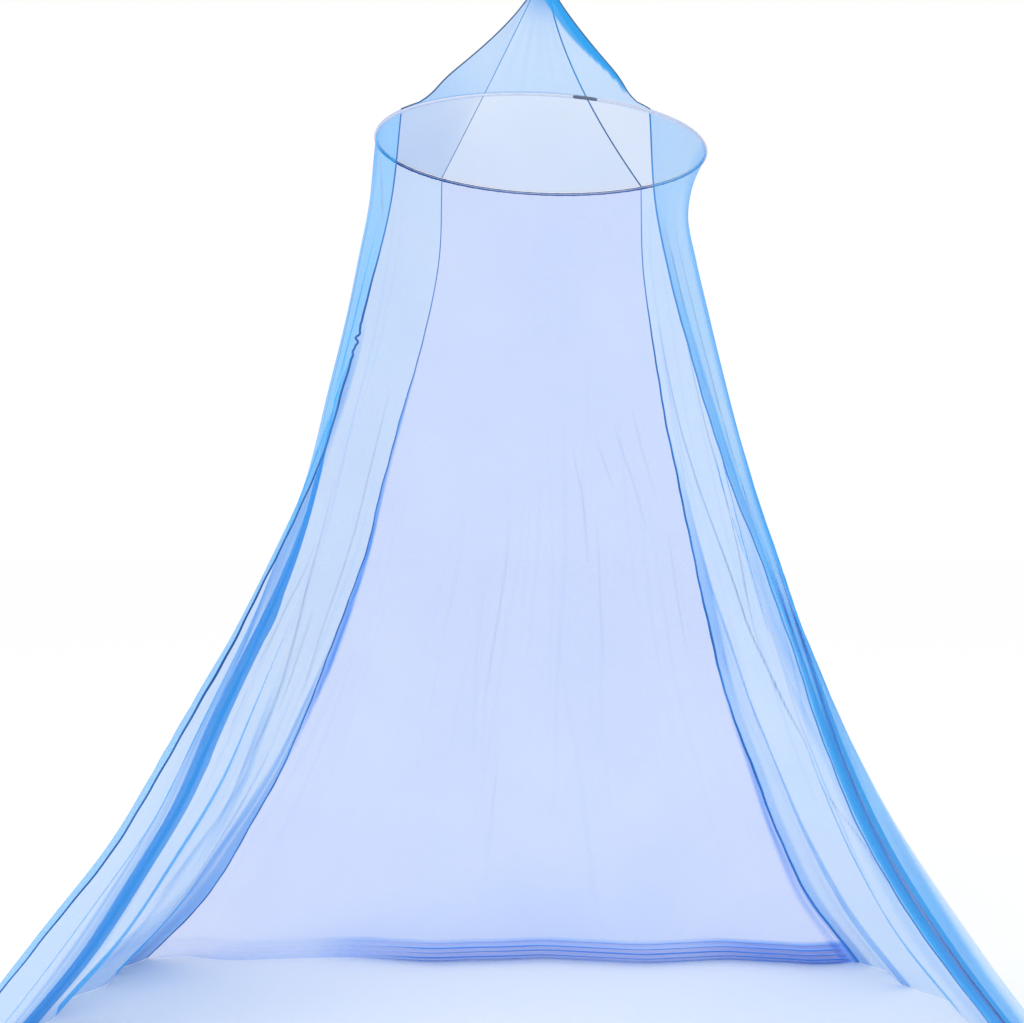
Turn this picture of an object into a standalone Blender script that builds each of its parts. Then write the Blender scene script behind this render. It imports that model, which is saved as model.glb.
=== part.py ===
"""Hanging mosquito net canopy: a four-gore dome, a wire hoop in a casing, two gathered side curtains and a back panel.

Metres, +Z up. The origin is the top of the hanging loop. The open front faces -Y.
Skirt drops and dome heights are measured from the hoop's centre.
"""
import bpy
import numpy as np

# Hoop and the channel that holds it
HOOP_R = 0.300
HOOP_CENTRE = np.array([-0.005, 0.0, -0.365])
HOOP_TILT = 0.050          # the right side hangs lower, metres per metre
HOOP_SEGMENTS = 40
WIRE_R = 0.00175
SLEEVE_IN_R = 0.0021
SLEEVE_OUT_R = 0.0027
SLEEVE_ANGLE = 12.6         # degrees round from the front, towards the right
SLEEVE_HALF = 3.8           # half its length, degrees
HOOP_END = 0.11             # each wire end stops this short of the joint's middle, degrees
CASING_IN_R = 0.0034
CASING_OUT_R = 0.0044
CASING_SLIT = 20.0          # half the slit, degrees round the section

# Dome
DOME_H = 0.310
CROWN_R = 0.015
CROWN_X = 0.005             # the crown stands this far to the right of the hoop's centre
RIDGE_BACK = 1.07           # how each ridge closes on the crown: power of the height left, front to back
RIDGE_ACROSS = {"near_left": 1.35, "far_left": 1.05, "far_right": 1.50, "near_right": 1.22}
RIDGE_SAG = 0.065
GORE_SAG = 0.34             # inward sag of a gore, as a share of the hoop arc's own bow at its width
GORE_LIFT = 0.0011          # the gores' feet stand this far above the casing
GORE_ROWS = 8
GORE_COLS = 7

# Crown cap and hanging loop
CAP_R = 0.021
CAP_T = 0.003
LOOP_R = 0.0015
LOOP_H = 0.049
LOOP_HALF_W = 0.009
LOOP_FEET = 0.003

# Cloth
CLOTH_T = 0.0012
FOLD_LEAN = 0.45             # keeps the corner of a sharp fold from growing past this share's inverse
BINDING_R = 0.0018
BINDING_SIDES = 4
GAP = 0.0005
SKIRT_DROP = 1.656
EDGE_QUIET = 0.03            # share of a panel's width, at each side edge, where its folds die out
FOLDS_FULL = 1.40            # drop below which the soft folds keep their height

# Where the four seams run, from the hoop (drop 0) down to the hem
SEAM_COLUMNS = (
    "drop", "near_left_x", "near_left_y", "far_left_x", "far_left_y",
    "far_right_x", "far_right_y", "near_right_x", "near_right_y",
)
SEAM_ROWS = (
    (0.000, -0.240, -0.180, -0.193, 0.230, 0.206, 0.218, 0.175, -0.244),
    (0.150, -0.256, -0.190, -0.200, 0.255, 0.213, 0.247, 0.184, -0.246),
    (0.300, -0.290, -0.205, -0.232, 0.283, 0.236, 0.272, 0.214, -0.251),
    (0.450, -0.328, -0.220, -0.278, 0.308, 0.263, 0.294, 0.254, -0.259),
    (0.600, -0.373, -0.235, -0.322, 0.331, 0.297, 0.318, 0.299, -0.268),
    (0.750, -0.447, -0.248, -0.362, 0.355, 0.331, 0.342, 0.355, -0.278),
    (0.900, -0.521, -0.265, -0.420, 0.380, 0.367, 0.366, 0.405, -0.291),
    (1.050, -0.600, -0.286, -0.479, 0.404, 0.408, 0.392, 0.452, -0.306),
    (1.200, -0.690, -0.310, -0.545, 0.430, 0.467, 0.419, 0.514, -0.326),
    (1.350, -0.800, -0.335, -0.630, 0.459, 0.527, 0.446, 0.605, -0.346),
    (1.500, -0.920, -0.365, -0.725, 0.490, 0.602, 0.478, 0.720, -0.370),
    (1.656, -1.050, -0.400, -0.874, 0.545, 0.722, 0.515, 0.858, -0.400),
)

# How far each panel bows out past the straight line between its seams, 1 = the hoop's own arc
BOW_COLUMNS = ("drop", "left", "back", "right")
BOW_ROWS = (
    (0.00, 1.00, 1.00, 1.00),
    (0.04, 1.02, 0.92, 0.82),
    (0.10, 1.04, 0.80, 0.69),
    (0.20, 1.08, 0.64, 0.73),
    (0.30, 1.02, 0.50, 0.77),
    (0.50, 0.92, 0.35, 0.79),
    (0.70, 0.72, 0.25, 0.78),
    (0.85, 0.60, 0.20, 0.80),
    (1.00, 0.57, 0.16, 0.85),
    (1.20, 0.48, 0.10, 0.80),
    (1.656, 0.38, 0.04, 0.74),
)

# Soft folds: place along the panel at the hoop and at the hem (0 = near or left seam, 1 = the other seam),
# half-width there as a share of the panel, height at the hem (outwards +), drop where the fold begins
FOLD_COLUMNS = ("top_place", "hem_place", "half_width", "height", "begin")
LEFT_FOLDS = (
    (0.05, 0.05, 0.045, 0.015, 0.45),
    (0.18, 0.20, 0.050, -0.014, 0.50),
    (0.62, 0.60, 0.045, -0.016, 0.40),
    (0.72, 0.70, 0.050, 0.018, 0.20),
    (0.82, 0.81, 0.040, -0.014, 0.50),
    (0.93, 0.92, 0.035, 0.016, 0.35),
)
RIGHT_FOLDS = (
    (0.16, 0.20, 0.080, 0.062, 0.80),
    (0.34, 0.36, 0.050, -0.014, 0.60),
    (0.50, 0.47, 0.050, 0.020, 0.30),
    (0.62, 0.60, 0.050, -0.016, 0.20),
    (0.74, 0.72, 0.045, 0.018, 0.40),
    (0.85, 0.84, 0.040, -0.014, 0.35),
    (0.95, 0.94, 0.030, 0.014, 0.45),
)
BACK_FOLDS = (
    (0.06, 0.05, 0.030, 0.014, 0.40),
    (0.14, 0.13, 0.040, -0.012, 0.60),
    (0.30, 0.28, 0.050, 0.012, 0.50),
    (0.42, 0.40, 0.045, -0.012, 0.70),
    (0.55, 0.56, 0.050, 0.014, 0.45),
    (0.68, 0.70, 0.045, -0.012, 0.60),
    (0.80, 0.82, 0.045, 0.014, 0.35),
    (0.93, 0.94, 0.035, -0.012, 0.30),
)

# Deep pleats that double the cloth back on itself: place along the panel and share of its width at the
# hoop and at the hem, doubled width and layer spacing at the hem, drop where it begins
PLEAT_COLUMNS = (
    "top_place", "hem_place", "top_share", "hem_share", "width", "spacing", "begin", "columns_before",
)
LEFT_PLEAT = (0.52, 0.47, 0.16, 0.04, 0.050, 0.0075, 0.36, 9)
RIGHT_PLEAT = (0.40, 0.075, 0.16, 0.04, 0.036, 0.0070, 0.30, 4)
PLEAT_SETTLED = 1.30         # drop below which the pleats keep their place and width
PLEAT_OPENS = 0.35           # power of its growth at which a pleat's layers draw apart, sooner than it widens
PLEAT_PATH = (               # along: in doubled widths; out: in layer spacings
    (-0.40, -1.30),
    (0.00, -1.55),
    (0.35, -1.70),
    (0.56, -1.70),
    (0.56, -1.25),
    (-0.56, -0.75),
    (-0.56, -0.25),
    (0.56, 0.25),
    (0.56, 0.75),
    (-0.56, 1.25),
    (-0.56, 1.70),
    (0.10, 1.60),
    (0.70, 1.10),
)

# Level folds of surplus cloth at the back hem
STACK_FOLDS = 4
STACK_PITCH = 0.0115
STACK_DEPTH = 0.011
STACK_BEGIN = 0.33           # share of the panel's width where the stack starts, counted from the left
STACK_GROWTH = 0.10

SIDE_COLS = 30
BACK_COLS = 20
SKIRT_ROWS = 17

COLOURS = {                  # red, green, blue, roughness, metallic
    "net": (0.24, 0.48, 0.82, 0.85, 0.0),
    "seam": (0.12, 0.32, 0.72, 0.85, 0.0),
    "wire": (0.62, 0.66, 0.72, 0.40, 0.6),
    "sleeve": (0.16, 0.18, 0.22, 0.50, 0.0),
    "cord": (0.72, 0.76, 0.82, 0.80, 0.0),
}


def column(rows, names, name):
    """One named column of a table."""
    return np.array([row[names.index(name)] for row in rows])


def curve(at, knots, values):
    """Smooth curve through a table's rows: a cubic between each two, slopes taken from the neighbours."""
    at = np.asarray(at, dtype=float)
    slopes = np.gradient(values, knots)
    i = np.clip(np.searchsorted(knots, at, side="right") - 1, 0, len(knots) - 2)
    width = knots[i + 1] - knots[i]
    t = (at - knots[i]) / width
    start = (2 * t ** 3 - 3 * t ** 2 + 1) * values[i] + (t ** 3 - 2 * t ** 2 + t) * width * slopes[i]
    end = (3 * t ** 2 - 2 * t ** 3) * values[i + 1] + (t ** 3 - t ** 2) * width * slopes[i + 1]
    return start + end


def ease(value, low, high):
    """0 below low, 1 above high and a smooth rise between."""
    t = np.clip((value - low) / (high - low), 0.0, 1.0)
    return t * t * (3 - 2 * t)


def unit(vectors):
    return vectors / np.linalg.norm(vectors, axis=-1, keepdims=True)


def hoop_height(x):
    """Height of the hoop's line above its centre at a place across it."""
    return -HOOP_TILT * x


def seam_plan(name, drops):
    """X and Y of a seam at each drop. On the hoop it is moved onto the hoop's circle."""
    knots = column(SEAM_ROWS, SEAM_COLUMNS, "drop")
    x = column(SEAM_ROWS, SEAM_COLUMNS, name + "_x")
    y = column(SEAM_ROWS, SEAM_COLUMNS, name + "_y")
    grow = HOOP_R / np.hypot(x[0], y[0])
    x[0] *= grow
    y[0] *= grow
    return np.stack([curve(drops, knots, x), curve(drops, knots, y)], axis=-1)


def seam_angle(name):
    """Angle round the hoop at which a seam starts, from -Y towards +X."""
    x, y = seam_plan(name, np.array([0.0]))[0]
    return np.arctan2(x, -y)


def seam_line(name, drops):
    """A skirt seam in space, under the hoop casing."""
    plan = seam_plan(name, drops)
    start = hoop_height(plan[0, 0]) - CASING_OUT_R - GAP
    z = start * (1 - drops / SKIRT_DROP) - drops
    return np.column_stack([plan, z])


def arc_plan(first, second, places):
    """The hoop's own arc between two seams, in plan."""
    a = seam_angle(first)
    b = seam_angle(second)
    if first == "near_left" or (first, second) == ("far_left", "far_right"):
        a = a % (2 * np.pi)
        b = b % (2 * np.pi)
    angles = a + (b - a) * places
    return HOOP_R * np.stack([np.sin(angles), -np.cos(angles)], axis=-1)


def fold_heights(folds, places, drops):
    """Sum of the soft folds. Each is a rounded ridge that deepens from where it begins down to the hem."""
    total = np.zeros_like(places)
    for row in folds:
        fold = dict(zip(FOLD_COLUMNS, row))
        along = drops / SKIRT_DROP
        centre = fold["top_place"] + (fold["hem_place"] - fold["top_place"]) * along
        offset = (places - centre[:, None]) / fold["half_width"]
        depth = fold["height"] * ease(drops, fold["begin"], FOLDS_FULL)
        total += depth[:, None] * np.exp(-offset ** 2)
    return total * edge_window(places)


def edge_window(places):
    """Nothing at a panel's two side edges and 1 inside them."""
    return ease(np.minimum(places, 1 - places), 0.0, EDGE_QUIET)


def panel_grid(first, second, places, drops, bow, folds):
    """A hanging panel between two seams: straight across, plus the hoop's arc, plus the soft folds."""
    start = seam_plan(first, drops)
    end = seam_plan(second, drops)
    chord = start[:, None] + (end - start)[:, None] * places[..., None]
    arc = arc_plan(first, second, places)
    share = curve(drops, column(BOW_ROWS, BOW_COLUMNS, "drop"), column(BOW_ROWS, BOW_COLUMNS, bow))
    plan = chord + share[:, None, None] * (arc - start[0] - (end - start)[0] * places[..., None])
    out = unit(np.stack([(start - end)[:, 1], (end - start)[:, 0]], axis=-1))
    middle = (start + end) / 2
    out *= np.sign(np.sum(out * middle, axis=1))[:, None]
    plan = plan + fold_heights(folds, places, drops)[..., None] * out[:, None]
    top = hoop_height(arc[..., 0]) - CASING_OUT_R - GAP
    z = top * (1 - drops / SKIRT_DROP)[:, None] - drops[:, None]
    return np.concatenate([plan, z[..., None]], axis=-1), out


def pleated_places(pleat, count, drops):
    """Places across a panel at each drop: even steps either side of the pleat, one step for each of its turns."""
    pleat = dict(zip(PLEAT_COLUMNS, pleat))
    drift = ease(drops, pleat["begin"], PLEAT_SETTLED)
    centre = pleat["top_place"] + (pleat["hem_place"] - pleat["top_place"]) * drift
    share = pleat["top_share"] + (pleat["hem_share"] - pleat["top_share"]) * drift
    turns = len(PLEAT_PATH)
    before = pleat["columns_before"]
    after = count - before - turns + 1
    middle = np.linspace(-0.5, 0.5, turns)
    pleated = centre[:, None] + share[:, None] * middle
    left = pleated[:, :1] * np.linspace(0.0, 1.0, before + 1)[:-1]
    right = 1.0 - (1.0 - pleated[:, -1:]) * np.linspace(1.0, 0.0, after + 1)[1:]
    return np.concatenate([left, pleated, right], axis=1)


def add_pleat(grid, out, pleat, drops):
    """Doubles the cloth back on itself along PLEAT_PATH, from nothing where it begins to full near the hem."""
    pleat = dict(zip(PLEAT_COLUMNS, pleat))
    growth = ease(drops, pleat["begin"], PLEAT_SETTLED)
    path = np.array(PLEAT_PATH)
    first = pleat["columns_before"]
    last = first + len(path) - 1
    across = unit((grid[:, last] - grid[:, first])[:, :2])
    along = pleat["width"] * growth[:, None] * path[None, :, 0]
    away = pleat["spacing"] * (growth ** PLEAT_OPENS)[:, None] * path[None, :, 1]
    shift = along[..., None] * across[:, None] + away[..., None] * out[:, None]
    grid[:, first:last + 1, :2] += shift


def trim_edges(grid, clear):
    """Ends a panel just short of the bindings along its two side edges."""
    for edge, inner in ((0, 1), (-1, -2)):
        towards = unit(grid[:, inner] - grid[:, edge])
        grid[:, edge] += towards * clear


def stack_hem(grid, places):
    """Lays the back panel's surplus length in level folds just above the hem."""
    legs = 2 * STACK_FOLDS
    amount = ease(places, STACK_BEGIN, STACK_BEGIN + STACK_GROWTH)
    amount = (0.12 + 0.88 * amount) * edge_window(places)
    last_row = SKIRT_DROP / (SKIRT_ROWS - 1)
    share = STACK_FOLDS * STACK_PITCH / last_row
    rows = []
    for leg in range(legs + 1):
        row = grid[-1] + (grid[-2] - grid[-1]) * share * (1 - leg / legs)
        side = 0.0 if leg in (0, legs) else (-1.0 if leg % 2 else 1.0)
        row[:, 1] += side * STACK_DEPTH * amount * (1 + 0.15 * np.sin(9 * places + 1.7 * leg))
        rows.append(row)
    return np.concatenate([grid[:-1], np.array(rows)])


def grid_faces(rows, cols):
    """Triangles of a grid, two to a cell and all cut the same way, as rows of three vertex numbers."""
    r, c = np.meshgrid(np.arange(rows - 1), np.arange(cols - 1), indexing="ij")
    a = (r * cols + c).ravel()
    upper = np.column_stack([a, a + 1, a + cols + 1])
    lower = np.column_stack([a, a + cols + 1, a + cols])
    return np.vstack([upper, lower])


def half_thickness(grid):
    """Half the cloth's thickness at each point, square to the cells around it and longer at a sharp fold."""
    falling = grid[1:, 1:] - grid[:-1, :-1]
    rising = grid[:-1, 1:] - grid[1:, :-1]
    cells = np.pad(unit(np.cross(rising, falling)), ((1, 1), (1, 1), (0, 0)), mode="edge")
    around = np.stack([cells[:-1, :-1], cells[1:, :-1], cells[:-1, 1:], cells[1:, 1:]])
    normal = unit(around.sum(axis=0))
    lean = np.mean(np.sum(around * normal, axis=-1), axis=0)
    return normal * CLOTH_T / 2 / np.maximum(lean, FOLD_LEAN)[..., None]


def sheet(name, grid, colour):
    """A sheet of even thickness on a grid of points, closed all round."""
    rows, cols = grid.shape[:2]
    half = half_thickness(grid)
    front = (grid + half).reshape(-1, 3)
    back = (grid - half).reshape(-1, 3)
    count = rows * cols
    faces = grid_faces(rows, cols)
    number = np.arange(count).reshape(rows, cols)
    rim = np.concatenate([number[0, :-1], number[:-1, -1], number[-1, :0:-1], number[:0:-1, 0]])
    after = np.roll(rim, -1)
    sides = np.column_stack([after, rim, rim + count, after + count])
    return solid(name, np.vstack([front, back]), [faces[:, ::-1], faces + count, sides[:, ::-1]], colour)


def bar(name, rings, colour):
    """A closed bar through rings of points, with flat ends."""
    rows, sides = rings.shape[:2]
    i, j = np.meshgrid(np.arange(rows - 1), np.arange(sides), indexing="ij")
    a = (i * sides + j).ravel()
    b = (i * sides + (j + 1) % sides).ravel()
    around = np.column_stack([a, b, b + sides, a + sides])
    caps = [tuple(range(sides))[::-1], tuple(range((rows - 1) * sides, rows * sides))]
    return solid(name, rings.reshape(-1, 3), [around], colour, caps)


def binding(name, path):
    """A rolled seam: a thin bar whose rings lie level, so that it ends level with the cloth beside it."""
    turn = 2 * np.pi * np.arange(BINDING_SIDES) / BINDING_SIDES
    ring = BINDING_R * np.column_stack([np.cos(turn), np.sin(turn), np.zeros_like(turn)])
    return bar(name, path[:, None] + ring[None], "seam")


def cord(name, path, radius, sides, colour):
    """A round cord along a path that lies in an upright plane facing Y."""
    tangent = unit(np.gradient(path, axis=0))
    sideways = np.broadcast_to((0.0, 1.0, 0.0), path.shape)
    across = unit(np.cross(tangent, sideways))
    turn = 2 * np.pi * np.arange(sides) / sides
    ring = across[:, None] * np.cos(turn)[None, :, None] + sideways[:, None] * np.sin(turn)[None, :, None]
    return bar(name, path[:, None] + radius * ring, colour)


def sweep_ring(name, section, angles, closed, colour):
    """A closed section (outwards, upwards) carried round the hoop through the given angles."""
    count = len(section)
    out = np.stack([np.sin(angles), -np.cos(angles), np.zeros_like(angles)], axis=-1)
    centre = HOOP_R * out
    points = centre[:, None] + section[None, :, :1] * out[:, None]
    points[..., 2] += section[None, :, 1] + hoop_height(points[..., 0])
    steps = len(angles) if closed else len(angles) - 1
    i, j = np.meshgrid(np.arange(steps), np.arange(count), indexing="ij")
    following = (i + 1) % len(angles)
    after = (j + 1) % count
    around = np.column_stack([(i * count + j).ravel(), (following * count + j).ravel(),
                              (following * count + after).ravel(), (i * count + after).ravel()])
    caps = [] if closed else [tuple(range(count)), tuple(range(steps * count, (steps + 1) * count))[::-1]]
    return solid(name, points.reshape(-1, 3), [around], colour, caps)


def material(name, colour):
    red, green, blue, roughness, metallic = COLOURS[colour]
    made = bpy.data.materials.new(name)
    made.use_nodes = True
    shader = made.node_tree.nodes["Principled BSDF"]
    shader.inputs["Base Color"].default_value = (red, green, blue, 1.0)
    shader.inputs["Roughness"].default_value = roughness
    shader.inputs["Metallic"].default_value = metallic
    return made


def solid(name, points, faces, colour, caps=()):
    """Makes one named object from points measured from the hoop's centre, its faces turned outwards."""
    rows = [tuple(int(v) for v in row) for block in faces for row in block]
    rows += [tuple(cap) for cap in caps]
    mesh = bpy.data.meshes.new(name)
    mesh.from_pydata((points + HOOP_CENTRE).tolist(), [], rows)
    mesh.validate()
    triangles = []
    mesh.calc_loop_triangles()
    for triangle in mesh.loop_triangles:
        triangles.append(tuple(triangle.vertices))
    corners = np.array([v.co for v in mesh.vertices])[np.array(triangles)]
    volume = np.einsum("ij,ij->", corners[:, 0], np.cross(corners[:, 1], corners[:, 2])) / 6
    if volume < 0:
        mesh.flip_normals()
    mesh.materials.append(material(name, colour))
    made = bpy.data.objects.new(name, mesh)
    bpy.context.collection.objects.link(made)
    return made


def ridge_line(name, heights):
    """A dome ridge from the hoop up to the crown. The near two sag just above the hoop."""
    angle = seam_angle(name)
    share = heights / DOME_H
    sag = RIDGE_SAG * np.exp(-((share - 0.08) / 0.12) ** 2) * np.minimum(1.0, share / 0.05)
    across = (1 - share) ** RIDGE_ACROSS[name] - sag * name.startswith("near")
    across = CROWN_R + (HOOP_R - CROWN_R) * across
    back = CROWN_R + (HOOP_R - CROWN_R) * (1 - share) ** RIDGE_BACK
    x = across * np.sin(angle) + CROWN_X * share
    y = -back * np.cos(angle)
    lift = (hoop_height(HOOP_R * np.sin(angle)) + CASING_OUT_R + GORE_LIFT) * (1 - share)
    return np.column_stack([x, y, heights + lift])


def gore_grid(first, second, heights, places):
    """A gore between two ridges: the hoop's arc at its foot, sagging a little inwards higher up."""
    start = ridge_line(first, heights)
    end = ridge_line(second, heights)
    chord = start[:, None] + (end - start)[:, None] * places[None, :, None]
    arc = arc_plan(first, second, places) - chord[0, :, :2]
    share = heights / DOME_H
    width = np.linalg.norm(end - start, axis=1) / np.linalg.norm(end[0] - start[0])
    bow = np.exp(-share / 0.10) * (1 - share) - GORE_SAG * width * np.sin(np.pi * share) ** 0.8
    grid = chord.copy()
    grid[..., :2] += bow[:, None, None] * arc[None]
    foot = hoop_height(grid[0, :, 0]) + CASING_OUT_R + GORE_LIFT
    grid[..., 2] = heights[:, None] + foot[None] * (1 - share)[:, None]
    return grid


def build_dome():
    """Four gores and the four ridge bindings between them."""
    heights = DOME_H * np.linspace(0.0, 1.0, GORE_ROWS) ** 1.1
    places = np.linspace(0.0, 1.0, GORE_COLS + 1)
    order = ("near_left", "far_left", "far_right", "near_right")
    names = ("dome_left", "dome_back", "dome_right", "dome_front")
    for number, name in enumerate(names):
        grid = gore_grid(order[number], order[(number + 1) % 4], heights, places)
        trim_edges(grid, BINDING_R + GAP)
        sheet(name, grid, "net")
    for seam in order:
        binding("ridge_" + seam, ridge_line(seam, heights))


def build_skirt():
    """Two pleated side curtains, the back panel and the four seam bindings."""
    drops = SKIRT_DROP * np.linspace(0.0, 1.0, SKIRT_ROWS)
    for name, first, second, bow, folds, pleat in (
        ("curtain_left", "near_left", "far_left", "left", LEFT_FOLDS, LEFT_PLEAT),
        ("curtain_right", "near_right", "far_right", "right", RIGHT_FOLDS, RIGHT_PLEAT),
    ):
        places = pleated_places(pleat, SIDE_COLS, drops)
        grid, out = panel_grid(first, second, places, drops, bow, folds)
        add_pleat(grid, out, pleat, drops)
        trim_edges(grid, BINDING_R + GAP)
        sheet(name, grid, "net")
    places = np.linspace(0.0, 1.0, BACK_COLS + 1)
    everywhere = np.tile(places, (len(drops), 1))
    grid, _ = panel_grid("far_left", "far_right", everywhere, drops, "back", BACK_FOLDS)
    trim_edges(grid, BINDING_R + GAP)
    sheet("back_panel", stack_hem(grid, places), "net")
    for seam in ("near_left", "far_left", "far_right", "near_right"):
        binding("seam_" + seam, seam_line(seam, drops))


def build_hoop():
    """Wire hoop with its ends meeting inside a sleeve, and the slit casing round both."""
    turn = np.radians(SLEEVE_ANGLE)
    fine = np.array([SLEEVE_HALF / 2, SLEEVE_HALF])
    coarse = np.arange(1, HOOP_SEGMENTS) * 360.0 / HOOP_SEGMENTS
    between = np.concatenate([fine, coarse, 360.0 - fine[::-1]])
    ends = np.array([HOOP_END, 360.0 - HOOP_END])
    around = 2 * np.pi * np.arange(8) / 8
    circle = np.column_stack([np.cos(around), np.sin(around)])
    wire = np.sort(np.concatenate([between, ends]))
    sweep_ring("hoop", WIRE_R * circle, turn + np.radians(wire), False, "wire")
    build_sleeve(turn + np.radians(np.linspace(-SLEEVE_HALF, SLEEVE_HALF, 5)), circle)
    slit = np.radians(CASING_SLIT)
    open_arc = np.linspace(np.pi + slit, 3 * np.pi - slit, 7)
    arc = np.column_stack([np.cos(open_arc), np.sin(open_arc)])
    section = np.vstack([CASING_OUT_R * arc, CASING_IN_R * arc[::-1]])
    ring = np.concatenate([[0.0], between])
    sweep_ring("hoop_casing", section, turn + np.radians(ring), True, "net")


def build_sleeve(angles, circle):
    """Joint sleeve: a short tube, open at both ends."""
    count = len(circle)
    walls = []
    for radius in (SLEEVE_OUT_R, SLEEVE_IN_R):
        out = np.stack([np.sin(angles), -np.cos(angles), np.zeros_like(angles)], axis=-1)
        wall = HOOP_R * out[:, None] + radius * circle[None, :, :1] * out[:, None]
        wall[..., 2] += radius * circle[None, :, 1] + hoop_height(wall[..., 0])
        walls.append(wall.reshape(-1, 3))
    rows = len(angles)
    inner = rows * count
    i, j = np.meshgrid(np.arange(rows - 1), np.arange(count), indexing="ij")
    a = (i * count + j).ravel()
    b = (i * count + (j + 1) % count).ravel()
    outside = np.column_stack([a, a + count, b + count, b])
    inside = outside[:, ::-1] + inner
    j = np.arange(count)
    after = (j + 1) % count
    last = (rows - 1) * count
    start = np.column_stack([j, after, after + inner, j + inner])
    end = np.column_stack([after + last, j + last, j + last + inner, after + last + inner])
    solid("hoop_joint_sleeve", np.vstack(walls), [outside, inside, start, end], "sleeve")


def build_crown():
    """Cap over the dome's top, and the cord loop it hangs by."""
    base = DOME_H + CLOTH_T / 2 + GAP
    profile = np.array([
        (0.0, base + CAP_T), (CAP_R, base + CAP_T), (CAP_R + 0.001, base + CAP_T / 2),
        (CAP_R + 0.001, base), (0.0, base),
    ])
    sides = 16
    turn = 2 * np.pi * np.arange(sides) / sides
    points = [(CROWN_X, 0.0, profile[0, 1])]
    for radius, height in profile[1:-1]:
        points += [(CROWN_X + radius * np.cos(t), radius * np.sin(t), height) for t in turn]
    points.append((CROWN_X, 0.0, profile[-1, 1]))
    faces = []
    for j in range(sides):
        after = (j + 1) % sides
        faces.append((0, 1 + j, 1 + after))
        faces.append((1 + 2 * sides + j, len(points) - 1, 1 + 2 * sides + after))
    quads = []
    for band in range(2):
        for j in range(sides):
            after = (j + 1) % sides
            low = 1 + band * sides
            quads.append((low + j, low + sides + j, low + sides + after, low + after))
    solid("crown_cap", np.array(points), [quads, faces], "seam")
    build_loop(base + CAP_T + GAP)


def build_loop(foot):
    """Cord loop: two legs that rise close together, widen and meet in a round top."""
    turn = np.radians(np.linspace(-50.0, 230.0, 15))
    round_top = np.column_stack([LOOP_HALF_W * np.cos(turn), LOOP_HALF_W * np.sin(turn)])
    round_top[:, 1] += foot + LOOP_H - LOOP_HALF_W
    legs = np.array([(LOOP_FEET, foot), (LOOP_FEET, foot + 0.010), (LOOP_FEET + 0.001, foot + 0.020)])
    left_leg = legs[::-1] * (-1, 1)
    outline = np.vstack([legs, round_top, left_leg])
    path = np.column_stack([CROWN_X + outline[:, 0], np.zeros(len(outline)), outline[:, 1]])
    cord("hanging_loop", path, LOOP_R, 6, "cord")


def main():
    for old in list(bpy.data.objects):
        bpy.data.objects.remove(old)
    build_dome()
    build_skirt()
    build_hoop()
    build_crown()


main()
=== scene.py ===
"""Looks of the hanging mosquito net canopy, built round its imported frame.

Metres, +Z up. The origin is the top of the hanging loop and the open front faces -Y. Every cloth piece is one sheet
of net on the folds of its solid. Skirt drops and dome heights are measured from the hoop's centre, places run 0 to 1
across a panel from its first seam to its second, and thread is how much of the view the net covers.
"""
import bpy
import numpy as np
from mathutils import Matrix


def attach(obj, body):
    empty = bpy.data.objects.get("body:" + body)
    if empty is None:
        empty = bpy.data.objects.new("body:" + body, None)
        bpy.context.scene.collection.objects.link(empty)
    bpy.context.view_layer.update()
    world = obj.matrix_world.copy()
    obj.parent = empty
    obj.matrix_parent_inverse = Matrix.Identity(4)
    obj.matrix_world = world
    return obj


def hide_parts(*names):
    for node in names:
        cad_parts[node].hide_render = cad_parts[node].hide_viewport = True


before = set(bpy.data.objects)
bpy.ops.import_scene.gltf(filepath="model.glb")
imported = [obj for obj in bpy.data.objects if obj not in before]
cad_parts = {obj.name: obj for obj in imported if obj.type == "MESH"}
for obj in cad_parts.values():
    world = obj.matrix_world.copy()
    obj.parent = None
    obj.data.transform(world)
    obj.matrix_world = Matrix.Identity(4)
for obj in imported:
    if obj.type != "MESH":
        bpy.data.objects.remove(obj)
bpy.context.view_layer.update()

# Hoop, casing and joint sleeve
HOOP_CENTRE = np.array([-0.005, 0.0, -0.365])
HOOP_R = 0.300
HOOP_TILT = 0.050
HOOP_STEPS = 300
HOOP_GAP = 0.002  # from the sleeve's middle to each end of the wire, in radians
WIRE_R = 0.00175
WIRE_SIDES = 12
SLEEVE_IN_R = 0.0021
SLEEVE_OUT_R = 0.0027
SLEEVE_BEVEL = 0.0002
SLEEVE_ANGLE = 12.6  # degrees round from the front
SLEEVE_HALF = 3.8  # half its length, in degrees
SLEEVE_STEPS = 15
CASING_R = 0.0031
CASING_SLIT = 20.0  # half the slit along its inner side, in degrees
CASING_UNDER = 0.0037  # the skirt starts this far under the hoop's line
CASING_STEPS = 720
CASING_SIDES = 19
CASING_RUFFLES = ((0.05, 170, 0.0), (0.04, 61, 1.0))  # shares of its radius

# Dome
DOME_H = 0.310
CROWN_R = 0.015
CROWN_X = 0.005
RIDGE_BACK = 1.07  # how quickly a ridge draws in to the crown: front to back, then sideways
RIDGE_ACROSS = {"near_left": 1.40, "far_left": 1.05, "far_right": 1.50, "near_right": 1.22}
RIDGE_SAG = 0.065  # of the near two, and the height shares of its middle, its reach and its start
RIDGE_SAG_MIDDLE = 0.08
RIDGE_SAG_REACH = 0.12
RIDGE_SAG_START = 0.05
RIDGE_STEPS = 160
RIDGE_SIDES = 8
GORE_SAG = 0.34
GORE_SAG_POWER = 0.8
GORE_FOOT = 0.10  # height share over which a gore leaves the hoop's arc
GORE_LIFT = 0.0042
GORE_ROWS = 72
GORE_COLS = 64
GORE_ROWS_POWER = 1.1  # closer rows near the hoop

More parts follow.
